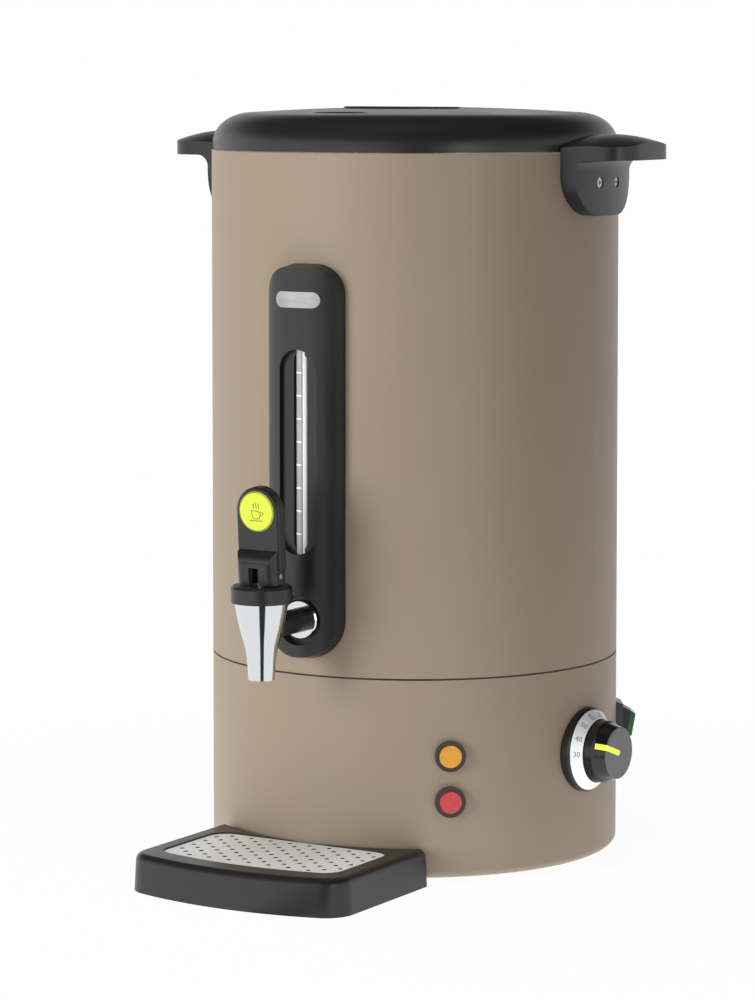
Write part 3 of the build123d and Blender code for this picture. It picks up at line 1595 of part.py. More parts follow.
# ================================================================ rocker switch
switch_plane = wall_plane(switch_bearing, switch_height)
with BuildPart() as switch_frame:
    with BuildSketch(switch_plane.offset(-casing_wall)):
        Rectangle(2 * switch_base_half_width, 2 * switch_base_half_height)
    with BuildSketch(switch_plane.offset(switch_frame_proud)):
        Rectangle(2 * switch_front_half_width, 2 * switch_front_half_height)
    loft()
    Cylinder(body_radius + fit_gap, cut_length, mode=Mode.SUBTRACT)
    with BuildSketch(switch_plane.offset(fit_gap)):
        Rectangle(2 * switch_housing_half_width, 2 * switch_housing_half_height)
    extrude(amount=-switch_housing_depth)
    with BuildSketch(switch_plane.offset(switch_frame_proud)):
        Rectangle(2 * switch_window_half_width, 2 * switch_window_half_height)
    extrude(
        amount=switch_housing_floor - switch_housing_depth - switch_frame_proud,
        mode=Mode.SUBTRACT,
    )
    with Locations(
        Plane(
            origin=switch_plane.from_local_coords((0, 0, rocker_axis_proud)),
            z_dir=switch_plane.x_dir,
        )
    ):
        Cylinder(
            rocker_pivot_radius + pin_gap,
            2 * (rocker_half_width + rocker_pivot_length + run_gap),
            mode=Mode.SUBTRACT,
        )
save(switch_frame, "switch_frame")

rocker_origin = switch_plane.from_local_coords((0, 0, rocker_axis_proud))
rocker_axis = Axis(rocker_origin, switch_plane.x_dir)
rocker_section = Plane(origin=rocker_origin, x_dir=switch_plane.z_dir, z_dir=-switch_plane.x_dir)


def rocker_slice(*profile):
    """Slice of the rocker from a half profile of (outwards, half height), leaning top outwards."""
    outline = list(profile) + [(outwards, -height) for outwards, height in reversed(profile)]
    with BuildPart() as piece:
        with BuildSketch(rocker_section):
            with BuildLine():
                Polyline(*outline, close=True)
            make_face()
        extrude(amount=rocker_half_width, both=True)
    return piece.part.rotate(rocker_axis, rocker_tilt)


with BuildPart() as switch_rocker:
    add(rocker_slice(rocker_back, rocker_flank, rocker_shoulder, rocker_front))
    with Locations(Plane(origin=rocker_origin, z_dir=switch_plane.x_dir)):
        Cylinder(rocker_pivot_radius, 2 * (rocker_half_width + rocker_pivot_length))
save(switch_rocker, "switch_rocker")

with BuildPart() as rocker_light:
    add(rocker_slice(rocker_front, rocker_light_front))
save(rocker_light, "rocker_light")

# ================================================================ cable inlet
gland_plane = wall_plane(gland_bearing, gland_height)
gland_axis = Axis(gland_plane.origin, gland_plane.z_dir)
with BuildPart() as cable_gland:
    with BuildSketch(gland_plane.offset(-gland_thread_length)):
        Circle(gland_thread_radius)
    extrude(amount=gland_thread_length + gland_body_length)
    with BuildSketch(gland_plane.offset(-casing_wall / 2)):
        RegularPolygon(gland_body_radius, 6)
    extrude(amount=casing_wall / 2 + gland_body_length)
    with BuildSketch(gland_plane.offset(gland_body_length)):
        Circle(gland_dome_radius)
    extrude(amount=gland_dome_length)
    fillet(cable_gland.edges().sort_by(gland_axis)[-1], radius=gland_dome_round)
    with BuildSketch(gland_plane.offset(-casing_wall)):
        Circle(2 * gland_body_radius)
        Circle(gland_thread_radius, mode=Mode.SUBTRACT)
    extrude(amount=casing_wall + fit_gap, mode=Mode.SUBTRACT)
    with Locations(gland_plane.offset(gland_body_length + gland_dome_length)):
        Hole(radius=gland_bore)
save(cable_gland, "cable_gland")

with BuildPart() as gland_nut:
    with BuildSketch(gland_plane.offset(-casing_wall - gland_nut_thickness)):
        RegularPolygon(gland_nut_radius, 6)
        Circle(gland_thread_radius + fit_gap, mode=Mode.SUBTRACT)
    extrude(amount=gland_nut_thickness)
    Cylinder(body_radius - casing_wall - fit_gap, cut_length, mode=Mode.INTERSECT)
save(gland_nut, "gland_nut")

with BuildPart() as terminal_block:
    with Locations((0, terminal_back, base_plate_top)):
        Box(
            terminal_length,
            terminal_width,
            terminal_height,
            align=(Align.CENTER, Align.CENTER, Align.MIN),
        )
    with Locations((0, terminal_back, base_plate_top + terminal_height)):
        with GridLocations(terminal_pitch, terminal_width / 2, terminal_ways, 2):
            Hole(radius=terminal_hole_radius, depth=terminal_hole_depth)
save(terminal_block, "terminal_block")

# ================================================================ dry-boil cut-out and its reset button
button_bottom = button_floor_gap
flange_bottom = base_plate_top + fit_gap
with BuildPart() as reset_button:
    with Locations((cutout_x, cutout_y, button_bottom)):
        Cylinder(button_radius, button_height, align=(Align.CENTER, Align.CENTER, Align.MIN))
    with Locations((cutout_x, cutout_y, flange_bottom)):
        Cylinder(
            button_flange_radius,
            button_flange_thickness,
            align=(Align.CENTER, Align.CENTER, Align.MIN),
        )
save(reset_button, "reset_button")

with BuildPart() as dry_boil_cutout:
    with Locations((cutout_x, cutout_y, base_plate_top)):
        Box(
            cutout_length,
            cutout_width,
            cutout_height,
            align=(Align.CENTER, Align.CENTER, Align.MIN),
        )
        Cylinder(
            button_flange_radius + run_gap,
            button_flange_thickness + button_travel + run_gap,
            align=(Align.CENTER, Align.CENTER, Align.MIN),
            mode=Mode.SUBTRACT,
        )
        Cylinder(
            button_radius + run_gap,
            button_bottom + button_height + button_travel + run_gap - base_plate_top,
            align=(Align.CENTER, Align.CENTER, Align.MIN),
            mode=Mode.SUBTRACT,
        )
save(dry_boil_cutout, "dry_boil_cutout")

# ================================================================ drip tray
grid_top = tray_height - grid_depth
grid_bottom = grid_top - grid_thickness


def grid_outline(inset):
    """Plan of the grid, drawn in all round by an inset: straight back, bowed front, round corners."""
    half_width = grid_half_width - inset
    front, back = -grid_front + inset, -grid_back - inset
    with BuildSketch(mode=Mode.PRIVATE) as outline:
        with BuildLine():
            Polyline(
                (half_width, front + grid_corner_set),
                (half_width, back),
                (-half_width, back),
                (-half_width, front + grid_corner_set),
            )
            ThreePointArc(
                (-half_width, front + grid_corner_set),
                (0, front),
                (half_width, front + grid_corner_set),
            )
        make_face()
        fillet(outline.vertices(), radius=grid_corner_radius - inset)
    return outline.sketch.face()


with BuildPart() as drip_tray:
    with BuildSketch() as tray_plan:
        with BuildLine():
            Polyline(
                (tray_half_width, tray_front_corner_set - tray_front),
                (tray_half_width, -body_radius / 2),
                (-tray_half_width, -body_radius / 2),
                (-tray_half_width, tray_front_corner_set - tray_front),
            )
            ThreePointArc(
                (-tray_half_width, tray_front_corner_set - tray_front),
                (0, -tray_front),
                (tray_half_width, tray_front_corner_set - tray_front),
            )
        make_face()
        fillet(tray_plan.vertices().group_by(Axis.Y)[0], radius=tray_corner_radius)
        Circle(body_radius + tray_body_gap, mode=Mode.SUBTRACT)
        fillet(
            tray_plan.vertices().sort_by(Axis.Y)[-2:],
            radius=tray_rear_corner_radius,
        )
    extrude(amount=tray_height, taper=tray_draft)
    Cylinder(body_radius + tray_body_gap, cut_length, mode=Mode.SUBTRACT)
    fillet(drip_tray.faces().sort_by(Axis.Z)[-1].edges(), radius=tray_edge_radius)
    with BuildSketch(Plane.XY.offset(tray_floor)):
        add(grid_outline(ledge_width))
    extrude(amount=tray_height, mode=Mode.SUBTRACT)
    with BuildSketch(Plane.XY.offset(grid_bottom)):
        add(grid_outline(-grid_gap))
    extrude(amount=tray_height, mode=Mode.SUBTRACT)
save(drip_tray, "drip_tray")

# Holes in staggered rows, kept clear of the edge of the grid.
with BuildPart() as drip_grid:
    with BuildSketch(Plane.XY.offset(grid_bottom)):
        add(grid_outline(0))
        hole_area = grid_outline(hole_margin)
        columns = 2 * int(grid_half_width / hole_pitch_x) + 1
        rows = 2 * int((grid_front - grid_back) / 2 / hole_pitch_y) + 1
        middle = -(grid_front + grid_back) / 2
        for row_shift, column_shift in ((0, 0), (hole_pitch_y / 2, hole_pitch_x / 2)):
            with Locations((column_shift, middle + row_shift)):
                with GridLocations(hole_pitch_x, hole_pitch_y, columns, rows) as places:
                    centres = [place.position for place in places.locations]
            for centre in centres:
                if hole_area.is_inside(Vector(centre.X, centre.Y, 0)):
                    with Locations((centre.X, centre.Y)):
                        Circle(hole_radius, mode=Mode.SUBTRACT)
    extrude(amount=grid_thickness)
save(drip_grid, "drip_grid")
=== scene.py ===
from math import atan2, cos, pi, radians, sin

import bmesh
import bpy
from mathutils import Matrix, Vector


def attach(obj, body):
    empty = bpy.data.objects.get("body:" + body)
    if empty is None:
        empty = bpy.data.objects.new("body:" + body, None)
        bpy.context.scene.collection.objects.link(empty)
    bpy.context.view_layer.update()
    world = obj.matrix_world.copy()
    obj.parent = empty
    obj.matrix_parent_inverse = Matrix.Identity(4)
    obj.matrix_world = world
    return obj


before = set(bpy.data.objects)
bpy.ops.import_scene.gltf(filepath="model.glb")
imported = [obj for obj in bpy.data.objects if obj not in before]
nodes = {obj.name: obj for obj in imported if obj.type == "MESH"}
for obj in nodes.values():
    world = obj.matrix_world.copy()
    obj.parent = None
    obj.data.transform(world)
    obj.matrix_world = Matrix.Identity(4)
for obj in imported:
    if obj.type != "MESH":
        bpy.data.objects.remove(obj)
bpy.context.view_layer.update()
scene = bpy.context.scene
mm = 0.001
bodyRadius = 139 * mm
colourA, colourB = 6, 7  # the Mix node's two colour sockets
mixedColour = 2  # and its colour output
print("frame loaded:", len(nodes), "nodes")

socketNames = {
    "metallic": "Metallic", "ior": "IOR", "specular": "Specular IOR Level",
    "transmission": "Transmission Weight", "coatWeight": "Coat Weight", "coatRoughness": "Coat Roughness",
    "subsurface": "Subsurface Weight", "subsurfaceScale": "Subsurface Scale",
    "anisotropic": "Anisotropic", "emissionColour": "Emission Color", "emissionStrength": "Emission Strength",
}


def linear(hexColour):
    # sRGB hex to the linear colour that a socket takes
    channels = [int(hexColour[i:i + 2], 16) / 255 for i in (1, 3, 5)]
    return [c / 12.92 if c <= 0.04045 else ((c + 0.055) / 1.055) ** 2.4 for c in channels] + [1.0]


def addNode(tree, kind, inputs=None, **settings):
    # inputs maps a socket's name or number to a value, or to the output that it is linked from
    node = tree.nodes.new(kind)
    for name, value in settings.items():
        setattr(node, name, value)
    for key, value in (inputs or {}).items():
        if isinstance(value, bpy.types.NodeSocket):
            tree.links.new(value, node.inputs[key])
        else:
            node.inputs[key].default_value = value
    return node


def startMaterial(name, colour, roughness, **sockets):
    # a shader with its plain values; sockets are named in camelCase, such as coatWeight
    material = bpy.data.materials.new(name)
    material.use_nodes = True
    tree = material.node_tree
    tree.nodes.clear()
    shader = addNode(tree, "ShaderNodeBsdfPrincipled", {"Base Color": linear(colour), "Roughness": roughness})
    for key, value in sockets.items():
        shader.inputs[socketNames[key]].default_value = value
    addNode(tree, "ShaderNodeOutputMaterial", {"Surface": shader.outputs["BSDF"]})
    return material, tree, shader


def addGrain(tree, shader, grainSize, depth, roughSpread=0.04, shades=None,
             patchSize=60 * mm, stretch=(1, 1, 1)):
    # fine grain, with roughness that wanders a little and colour that drifts between two shades
    place = addNode(tree, "ShaderNodeTexCoord").outputs["Object"]
    place = addNode(tree, "ShaderNodeMapping", {"Vector": place, "Scale": stretch}).outputs["Vector"]
    grain = addNode(tree, "ShaderNodeTexNoise", {"Vector": place, "Scale": 1 / grainSize, "Detail": 2.0})
    bump = addNode(tree, "ShaderNodeBump", {
        "Height": grain.outputs["Fac"], "Distance": depth, "Strength": 1.0})
    tree.links.new(bump.outputs["Normal"], shader.inputs["Normal"])
    patch = addNode(tree, "ShaderNodeTexNoise", {"Vector": place, "Scale": 1 / patchSize, "Detail": 3.0})
    middle = shader.inputs["Roughness"].default_value
    rough = addNode(tree, "ShaderNodeMapRange", {
        "Value": patch.outputs["Fac"], "From Min": 0.3, "From Max": 0.7,
        "To Min": middle - roughSpread, "To Max": middle + roughSpread})
    tree.links.new(rough.outputs["Result"], shader.inputs["Roughness"])
    if shades:
        drift = addNode(tree, "ShaderNodeMix", {
            0: patch.outputs["Fac"], colourA: linear(shades[0]), colourB: linear(shades[1])},
            data_type="RGBA")
        tree.links.new(drift.outputs[mixedColour], shader.inputs["Base Color"])


# polyester powder coat, sprayed and baked: satin, with the faint orange peel that baking leaves
taupePowder, tree, shader = startMaterial("taupePowderCoat", "#8F806E", 0.44, specular=0.32)
addGrain(tree, shader, grainSize=1.6 * mm, depth=0.012 * mm, roughSpread=0.03, shades=("#8D7E6B", "#918372"))

# polypropylene moulded in a spark-eroded tool: matt black, and its 0.3 mm grain is drawn at 0.7 mm
blackMoulded, tree, shader = startMaterial("blackMouldedPlastic", "#1C1C1D", 0.34)
addGrain(tree, shader, grainSize=0.7 * mm, depth=0.012 * mm, roughSpread=0.04, shades=("#1A1A1B", "#1F1F20"))

# ABS moulded in a polished tool: gloss black, with faint sink marks
blackGloss, tree, shader = startMaterial("blackGlossAbs", "#131314", 0.16, coatWeight=0.3, coatRoughness=0.06)
addGrain(tree, shader, grainSize=14 * mm, depth=0.02 * mm, roughSpread=0.03)

# chromium on polished brass: mirror bright, with hardly any blur
chromePlate, tree, shader = startMaterial("chromePlatedBrass", "#DDDFE2", 0.05, metallic=1.0)
addGrain(tree, shader, grainSize=9 * mm, depth=0.01 * mm, roughSpread=0.02)

# stainless steel sheet, rolled and brushed: soft streaks that run along one way
steelSheet, tree, shader = startMaterial(
    "brushedStainlessSheet", "#CFCECB", 0.30, metallic=1.0, anisotropic=0.4)
addGrain(tree, shader, grainSize=0.6 * mm, depth=0.004 * mm, roughSpread=0.06, shades=("#C6C5C2", "#D6D5D2"),
         patchSize=4 * mm, stretch=(0.06, 1, 1))

# stainless steel sheet, punched and satin blasted: pale silver from every side
gridSheet = {"face": "#F0F0EE", "paintedHoleShade": "#2C2C2C", "steepest": 0.5}
satinSteel, tree, shader = startMaterial("satinStainlessSheet", gridSheet["face"], 0.50, metallic=0.35)
addGrain(tree, shader, grainSize=0.5 * mm, depth=0.003 * mm, roughSpread=0.05)
# the steep walls of the holes and the sheet's outer edge are painted dark: painted shade for the walls in
# shadow and the gap round the sheet
facing = addNode(tree, "ShaderNodeNewGeometry").outputs["Normal"]
upright = addNode(tree, "ShaderNodeSeparateXYZ", {"Vector": facing}).outputs["Z"]
upright = addNode(tree, "ShaderNodeMath", {0: upright}, operation="ABSOLUTE").outputs["Value"]
level = addNode(tree, "ShaderNodeMath", {0: upright, 1: gridSheet["steepest"]}, operation="GREATER_THAN")
shade = addNode(tree, "ShaderNodeMix", {
    0: level.outputs["Value"], colourA: linear(gridSheet["paintedHoleShade"]), colourB: linear(gridSheet["face"])},
    data_type="RGBA")
tree.links.new(shade.outputs[mixedColour], shader.inputs["Base Color"])

# stainless steel, turned or drawn: even and bright
steelTurned, tree, shader = startMaterial("turnedStainless", "#C9C9C8", 0.24, metallic=1.0)
addGrain(tree, shader, grainSize=0.5 * mm, depth=0.003 * mm, roughSpread=0.05)

# steel with bright zinc plating: pale grey with slight clouding
zincPlate, tree, shader = startMaterial("zincPlatedSteel", "#B7B8BA", 0.36, metallic=1.0)
addGrain(tree, shader, grainSize=1.0 * mm, depth=0.006 * mm, roughSpread=0.08, shades=("#AFB0B3", "#BFC0C1"),
         patchSize=8 * mm)

# aluminium plate, brushed along its length and anodised
labelAluminium, tree, shader = startMaterial("anodisedAluminiumPlate", "#B4B5B7", 0.28, metallic=1.0)
addGrain(tree, shader, grainSize=0.4 * mm, depth=0.003 * mm, roughSpread=0.05, shades=("#A6A7A9", "#C6C7C9"),
         patchSize=5 * mm, stretch=(0.08, 1, 1))

# brass, drawn as tube
brassDrawn, tree, shader = startMaterial("drawnBrass", "#C9A865", 0.30, metallic=1.0)
addGrain(tree, shader, grainSize=0.5 * mm, depth=0.003 * mm, roughSpread=0.06)

# aluminium, die cast: dull, with a fine grain from the die
castAluminium, tree, shader = startMaterial("castAluminium", "#BDBEC0", 0.48, metallic=1.0)
addGrain(tree, shader, grainSize=0.8 * mm, depth=0.02 * mm, roughSpread=0.06)

# aluminium ring, satin anodised: pale silver that catches the light softly
anodisedRing, tree, shader = startMaterial("anodisedAluminiumRing", "#EFF0F1", 0.42, metallic=0.35)
addGrain(tree, shader, grainSize=0.4 * mm, depth=0.002 * mm, roughSpread=0.03, shades=("#ECEDEE", "#F3F4F5"),
         patchSize=10 * mm)

# EPDM rubber, moulded: dull black with a bloom
rubberMoulded, tree, shader = startMaterial("blackMouldedRubber", "#1B1B1B", 0.80)
addGrain(tree, shader, grainSize=0.6 * mm, depth=0.03 * mm, roughSpread=0.06, shades=("#191919", "#262625"))

# silicone, moulded: milky and slightly see-through
siliconeMoulded, tree, shader = startMaterial(
    "milkySilicone", "#D9D8D2", 0.45, subsurface=0.4, subsurfaceScale=0.002, ior=1.41)
addGrain(tree, shader, grainSize=1.5 * mm, depth=0.01 * mm)

# borosilicate gauge tube, painted with what is seen through it: pale grey on the left for the strip behind, a
# dark line of painted refraction, and white on the right as a painted highlight
tubePaintedLight = {"axis": -143.9 * mm, "lineFrom": 20.0, "lineTo": 25.0,
             "grey": "#9A9A9A", "line": "#262626", "white": "#F2F2F2", "glow": 0.10}
gaugeGlass, tree, shader = startMaterial("gaugeTubePaintedLight", tubePaintedLight["grey"], 0.25, coatWeight=0.2,
                                         coatRoughness=0.05, emissionStrength=tubePaintedLight["glow"])
place = addNode(tree, "ShaderNodeTexCoord").outputs["Object"]
fromAxis = addNode(tree, "ShaderNodeVectorMath", {
    0: place, 1: (0, tubePaintedLight["axis"], 0)}, operation="SUBTRACT").outputs["Vector"]
axes = addNode(tree, "ShaderNodeSeparateXYZ", {"Vector": fromAxis}).outputs
forwards = addNode(tree, "ShaderNodeMath", {0: axes["Y"], 1: -1.0}, operation="MULTIPLY").outputs["Value"]
around = addNode(tree, "ShaderNodeMath", {0: axes["X"], 1: forwards}, operation="ARCTAN2").outputs["Value"]
pastLine = addNode(tree, "ShaderNodeMath", {
    0: around, 1: radians(tubePaintedLight["lineFrom"])}, operation="GREATER_THAN").outputs["Value"]
pastHighlight = addNode(tree, "ShaderNodeMath", {
    0: around, 1: radians(tubePaintedLight["lineTo"])}, operation="GREATER_THAN").outputs["Value"]
greyOrLine = addNode(tree, "ShaderNodeMix", {
    0: pastLine, colourA: linear(tubePaintedLight["grey"]), colourB: linear(tubePaintedLight["line"])}, data_type="RGBA")
paintedTubeColour = addNode(tree, "ShaderNodeMix", {
    0: pastHighlight, colourA: greyOrLine.outputs[mixedColour], colourB: linear(tubePaintedLight["white"])},
    data_type="RGBA")
tree.links.new(paintedTubeColour.outputs[mixedColour], shader.inputs["Base Color"])
# the same colours also glow faintly, which is painted light, as the tube is no lamp
tree.links.new(paintedTubeColour.outputs[mixedColour], shader.inputs["Emission Color"])

# PBT and phenolic bodies inside the base, moulded
greyMoulded, tree, shader = startMaterial("greyMouldedPlastic", "#55565A", 0.50)
addGrain(tree, shader, grainSize=0.7 * mm, depth=0.02 * mm, shades=("#505155", "#5B5C60"))

# steatite ceramic, pressed and fired
whiteCeramic, tree, shader = startMaterial("pressedSteatite", "#D9D6CC", 0.55)
addGrain(tree, shader, grainSize=0.5 * mm, depth=0.02 * mm, shades=("#D4D1C6", "#DEDBD2"))

# polycarbonate disc, printed on its back: bright yellow green behind a clear smooth face
badgeYellow, tree, shader = startMaterial("printedYellowGreenDisc", "#C6D12F", 0.34, coatWeight=0.2,
                                          coatRoughness=0.12)
addGrain(tree, shader, grainSize=1.2 * mm, depth=0.004 * mm, shades=("#C3CE2C", "#CBD637"), patchSize=12 * mm)

# screen-printing ink in a dark olive, dry and matt
oliveInk, tree, shader = startMaterial("oliveScreenInk", "#4A5219", 0.62)
addGrain(tree, shader, grainSize=0.3 * mm, depth=0.003 * mm, shades=("#454D17", "#525B1E"), patchSize=6 * mm)

# screen-printing ink in grey, for the numbers on the ring
greyInk, tree, shader = startMaterial("greyScreenInk", "#6C6D70", 0.60)
addGrain(tree, shader, grainSize=0.3 * mm, depth=0.003 * mm)

# screen-printing ink in white, for the level marks on the tube
whiteInk, tree, shader = startMaterial("whiteScreenInk", "#F4F4F2", 0.55)
addGrain(tree, shader, grainSize=0.3 * mm, depth=0.003 * mm)

# insert of ABS in the knob, moulded in fluorescent yellow
fluorescent = "#F5FE52"
# its small emission is a painted glow, standing for the fluorescence
pointerYellow, tree, shader = startMaterial("yellowMouldedInsert", fluorescent, 0.42,
                                            emissionColour=linear(fluorescent), emissionStrength=0.15)
addGrain(tree, shader, grainSize=0.7 * mm, depth=0.01 * mm, shades=("#F0F948", "#F6FF5A"), patchSize=8 * mm)

# acrylic lenses, moulded with small prisms: deep colour that drifts in small patches to lighter shades, which
# are painted glints for the light that the prisms turn
amberAcrylic, tree, shader = startMaterial(
    "amberPrismaticAcrylic", "#F5A800", 0.14, transmission=0.35, ior=1.49, coatWeight=0.6, coatRoughness=0.05)
addGrain(tree, shader, grainSize=1.2 * mm, depth=0.02 * mm, shades=("#E89400", "#FFBE1E"), patchSize=2.5 * mm)
redAcrylic, tree, shader = startMaterial(
    "redPrismaticAcrylic", "#D5141F", 0.14, transmission=0.35, ior=1.49, coatWeight=0.6, coatRoughness=0.05)
addGrain(tree, shader, grainSize=1.2 * mm, depth=0.02 * mm, shades=("#C80B16", "#E84452"), patchSize=2.5 * mm)
greenAcrylic, tree, shader = startMaterial("greenAcrylic", "#0F5A30", 0.12, transmission=0.3, ior=1.49)
addGrain(tree, shader, grainSize=1.5 * mm, depth=0.02 * mm, shades=("#0B4424", "#127A40"), patchSize=6 * mm)

# the knob: gloss sides, and a face painted grey as painted sheen, for the light that its fine turned lines
# scatter
knobAxis = {"bearing": 86.2, "height": 78.2 * mm, "faceProud": 25.4 * mm}
knobFinish = {"sides": "#141415", "face": "#606061", "sideRoughness": 0.2, "faceRoughness": 0.55,
              "grainSize": 0.5 * mm, "grainDepth": 0.01 * mm}
knobBlack, tree, shader = startMaterial("glossKnobWithMattFace", knobFinish["sides"],
                                        knobFinish["sideRoughness"], coatWeight=0.25, coatRoughness=0.08)
place = addNode(tree, "ShaderNodeTexCoord").outputs["Object"]
outward = (sin(radians(knobAxis["bearing"])), -cos(radians(knobAxis["bearing"])), 0)
along = addNode(tree, "ShaderNodeVectorMath", {
    0: place, 1: outward}, operation="DOT_PRODUCT").outputs["Value"]
onFace = addNode(tree, "ShaderNodeMath", {
    0: along, 1: bodyRadius + knobAxis["faceProud"]}, operation="GREATER_THAN").outputs["Value"]
grain = addNode(tree, "ShaderNodeTexNoise", {
    "Vector": place, "Scale": 1 / knobFinish["grainSize"], "Detail": 2.0}).outputs["Fac"]
# the face's grey base colour is painted sheen
shade = addNode(tree, "ShaderNodeMix", {
    0: onFace, colourA: linear(knobFinish["sides"]), colourB: linear(knobFinish["face"])}, data_type="RGBA")
tree.links.new(shade.outputs[mixedColour], shader.inputs["Base Color"])
rough = addNode(tree, "ShaderNodeMapRange", {
    "Value": onFace, "To Min": knobFinish["sideRoughness"], "To Max": knobFinish["faceRoughness"]})
tree.links.new(rough.outputs["Result"], shader.inputs["Roughness"])
faceGrain = addNode(tree, "ShaderNodeMath", {0: grain, 1: onFace}, operation="MULTIPLY").outputs["Value"]
bump = addNode(tree, "ShaderNodeBump", {"Height": faceGrain, "Distance": knobFinish["grainDepth"]})
tree.links.new(bump.outputs["Normal"], shader.inputs["Normal"])

# strip of polyester film behind the tube, printed in one pale grey
gaugeStrip, tree, shader = startMaterial("printedGaugeStrip", "#DCDCDC", 0.45)
addGrain(tree, shader, grainSize=0.3 * mm, depth=0.002 * mm)

finishes = {
    taupePowder: ("upper_casing", "base_casing"),
    blackMoulded: (
        "joint_ring", "lid", "lid_liner", "handle_right", "handle_left", "gauge_bezel", "tube_foot",
        "tube_cap", "tap_shank", "shank_spacer", "tap_bonnet", "lever", "switch_frame", "switch_rocker",
        "dial_base", "cable_gland", "gland_nut", "drip_tray"),
    blackGloss: ("lamp_bezels",),
    knobBlack: ("knob",),
    chromePlate: ("tap_cup", "tap_nut"),
    labelAluminium: ("label_plate",),
    steelSheet: ("tank",),
    satinSteel: ("drip_grid",),
    steelTurned: ("lock_nut", "valve_stem", "valve_spring", "lever_pin", "heating_element"),
    zincPlate: (
        "tank_studs", "deck_plate", "tie_rods", "base_plate", "chassis_screws", "handle_screws",
        "backing_plates", "panel_screws", "thermostat_spindle"),
    brassDrawn: ("thermostat_bulb",),
    castAluminium: ("heat_spreader",),
    anodisedRing: ("dial_ring",),
    rubberMoulded: ("feet",),
    siliconeMoulded: ("lid_seal", "tube_seals", "shank_washer", "valve_seal"),
    gaugeGlass: ("gauge_tube",),
    gaugeStrip: ("gauge_strip",),
    greyMoulded: ("thermostat_body", "dry_boil_cutout"),
    whiteCeramic: ("terminal_block",),
    badgeYellow: ("lever_badge",),
    pointerYellow: ("knob_pointer",),
    amberAcrylic: ("amber_lens",),
    redAcrylic: ("red_lens", "reset_button"),
    greenAcrylic: ("rocker_light",),
}
for material, names in finishes.items():
    for name in names:
        nodes[name].data.materials.clear()
        nodes[name].data.materials.append(material)
bare = sorted(set(nodes) - {name for names in finishes.values() for name in names})
print("finishes set:", len(finishes), "materials, nodes left bare:", bare)


def wallPlace(bearing, height, proud):
    # turns a flat drawing (x across, y up, z outwards) onto the body's wall; bearing counts from the front
    b = radians(bearing)
    outwards = Vector((sin(b), -cos(b), 0))
    across = Vector((cos(b), sin(b), 0))
    origin = outwards * (bodyRadius + proud) + Vector((0, 0, height))
    turn = Matrix((across, Vector((0, 0, 1)), outwards)).transposed().to_4x4()
    return Matrix.Translation(origin) @ turn


def addPiece(name, mesh, body, material=None):
    # a finished piece with its place already in its mesh
    piece = bpy.data.objects.new(name, mesh)
    scene.collection.objects.link(piece)
    if material:
        mesh.materials.clear()
        mesh.materials.append(material)
    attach(piece, body)


def meshFromData(data, name):
    # plain mesh of a curve or a text, which is then thrown away
    maker = bpy.data.objects.new(name, data)
    scene.collection.objects.link(maker)
    bpy.context.view_layer.update()
    mesh = bpy.data.meshes.new_from_object(maker.evaluated_get(bpy.context.evaluated_depsgraph_get()))
    bpy.data.objects.remove(maker)
    return mesh


def joinMeshes(name, parts):
    # one mesh from several, each with its own place
    whole = bmesh.new()
    for mesh, place in parts:
        mesh.transform(place)
        whole.from_mesh(mesh)
    joined = bpy.data.meshes.new(name)
    whole.to_mesh(joined)
    whole.free()
    return joined


def startTree(name, inputs):
    # geometry tree with one named input for each size
    tree = bpy.data.node_groups.new(name, "GeometryNodeTree")
    tree.interface.new_socket("Geometry", in_out="OUTPUT", socket_type="NodeSocketGeometry")
    for label, value in inputs.items():
        kind = "NodeSocketInt" if isinstance(value, int) else "NodeSocketFloat"
        tree.interface.new_socket(label, in_out="INPUT", socket_type=kind)
    return tree, tree.nodes.new("NodeGroupInput").outputs


def endTree(tree, geometry, material):
    # real copies instead of instances, with their material
    real = addNode(tree, "GeometryNodeRealizeInstances", {"Geometry": geometry})
    finished = addNode(tree, "GeometryNodeSetMaterial", {
        "Geometry": real.outputs["Geometry"], "Material": material})
    addNode(tree, "NodeGroupOutput", {"Geometry": finished.outputs["Geometry"]})


def meshFromTree(tree, values):
    # runs the tree on an empty mesh and gives back what it makes as a plain mesh
    maker = bpy.data.objects.new(tree.name, bpy.data.meshes.new(tree.name))
    scene.collection.objects.link(maker)
    modifier = maker.modifiers.new("shape", "NODES")
    modifier.node_group = tree
    for item in tree.interface.items_tree:
        if item.in_out == "INPUT":
            modifier[item.identifier] = values[item.name]
    bpy.context.view_layer.update()
    mesh = bpy.data.meshes.new_from_object(maker.evaluated_get(bpy.context.evaluated_depsgraph_get()))
    bpy.data.objects.remove(maker)
    return mesh


# level marks, which bend round the front of the tube
gaugeMarks = {"count": 8, "pitch": 15.14 * mm, "height": 1.1 * mm, "thickness": 0.05 * mm,
              "radius": 4.52 * mm, "start": radians(-142.0), "sweep": radians(66.0)}
firstMark = 229.4 * mm
arcSteps = 12
tree, given = startTree("gaugeMarks", gaugeMarks)
step = addNode(tree, "ShaderNodeCombineXYZ", {"Z": given["pitch"]}).outputs["Vector"]
row = addNode(tree, "GeometryNodeMeshLine", {"Count": given["count"], "Offset": step}).outputs["Mesh"]
arc = addNode(tree, "GeometryNodeCurveArc", {
    "Resolution": arcSteps, "Radius": given["radius"],
    "Start Angle": given["start"], "Sweep Angle": given["sweep"]}, mode="RADIUS").outputs["Curve"]
profile = addNode(tree, "GeometryNodeCurvePrimitiveQuadrilateral", {
    "Width": given["thickness"], "Height": given["height"]}).outputs["Curve"]
bar = addNode(tree, "GeometryNodeCurveToMesh", {
    "Curve": arc, "Profile Curve": profile, "Fill Caps": True}).outputs["Mesh"]
bars = addNode(tree, "GeometryNodeInstanceOnPoints", {"Points": row, "Instance": bar}).outputs["Instances"]
endTree(tree, bars, whiteInk)
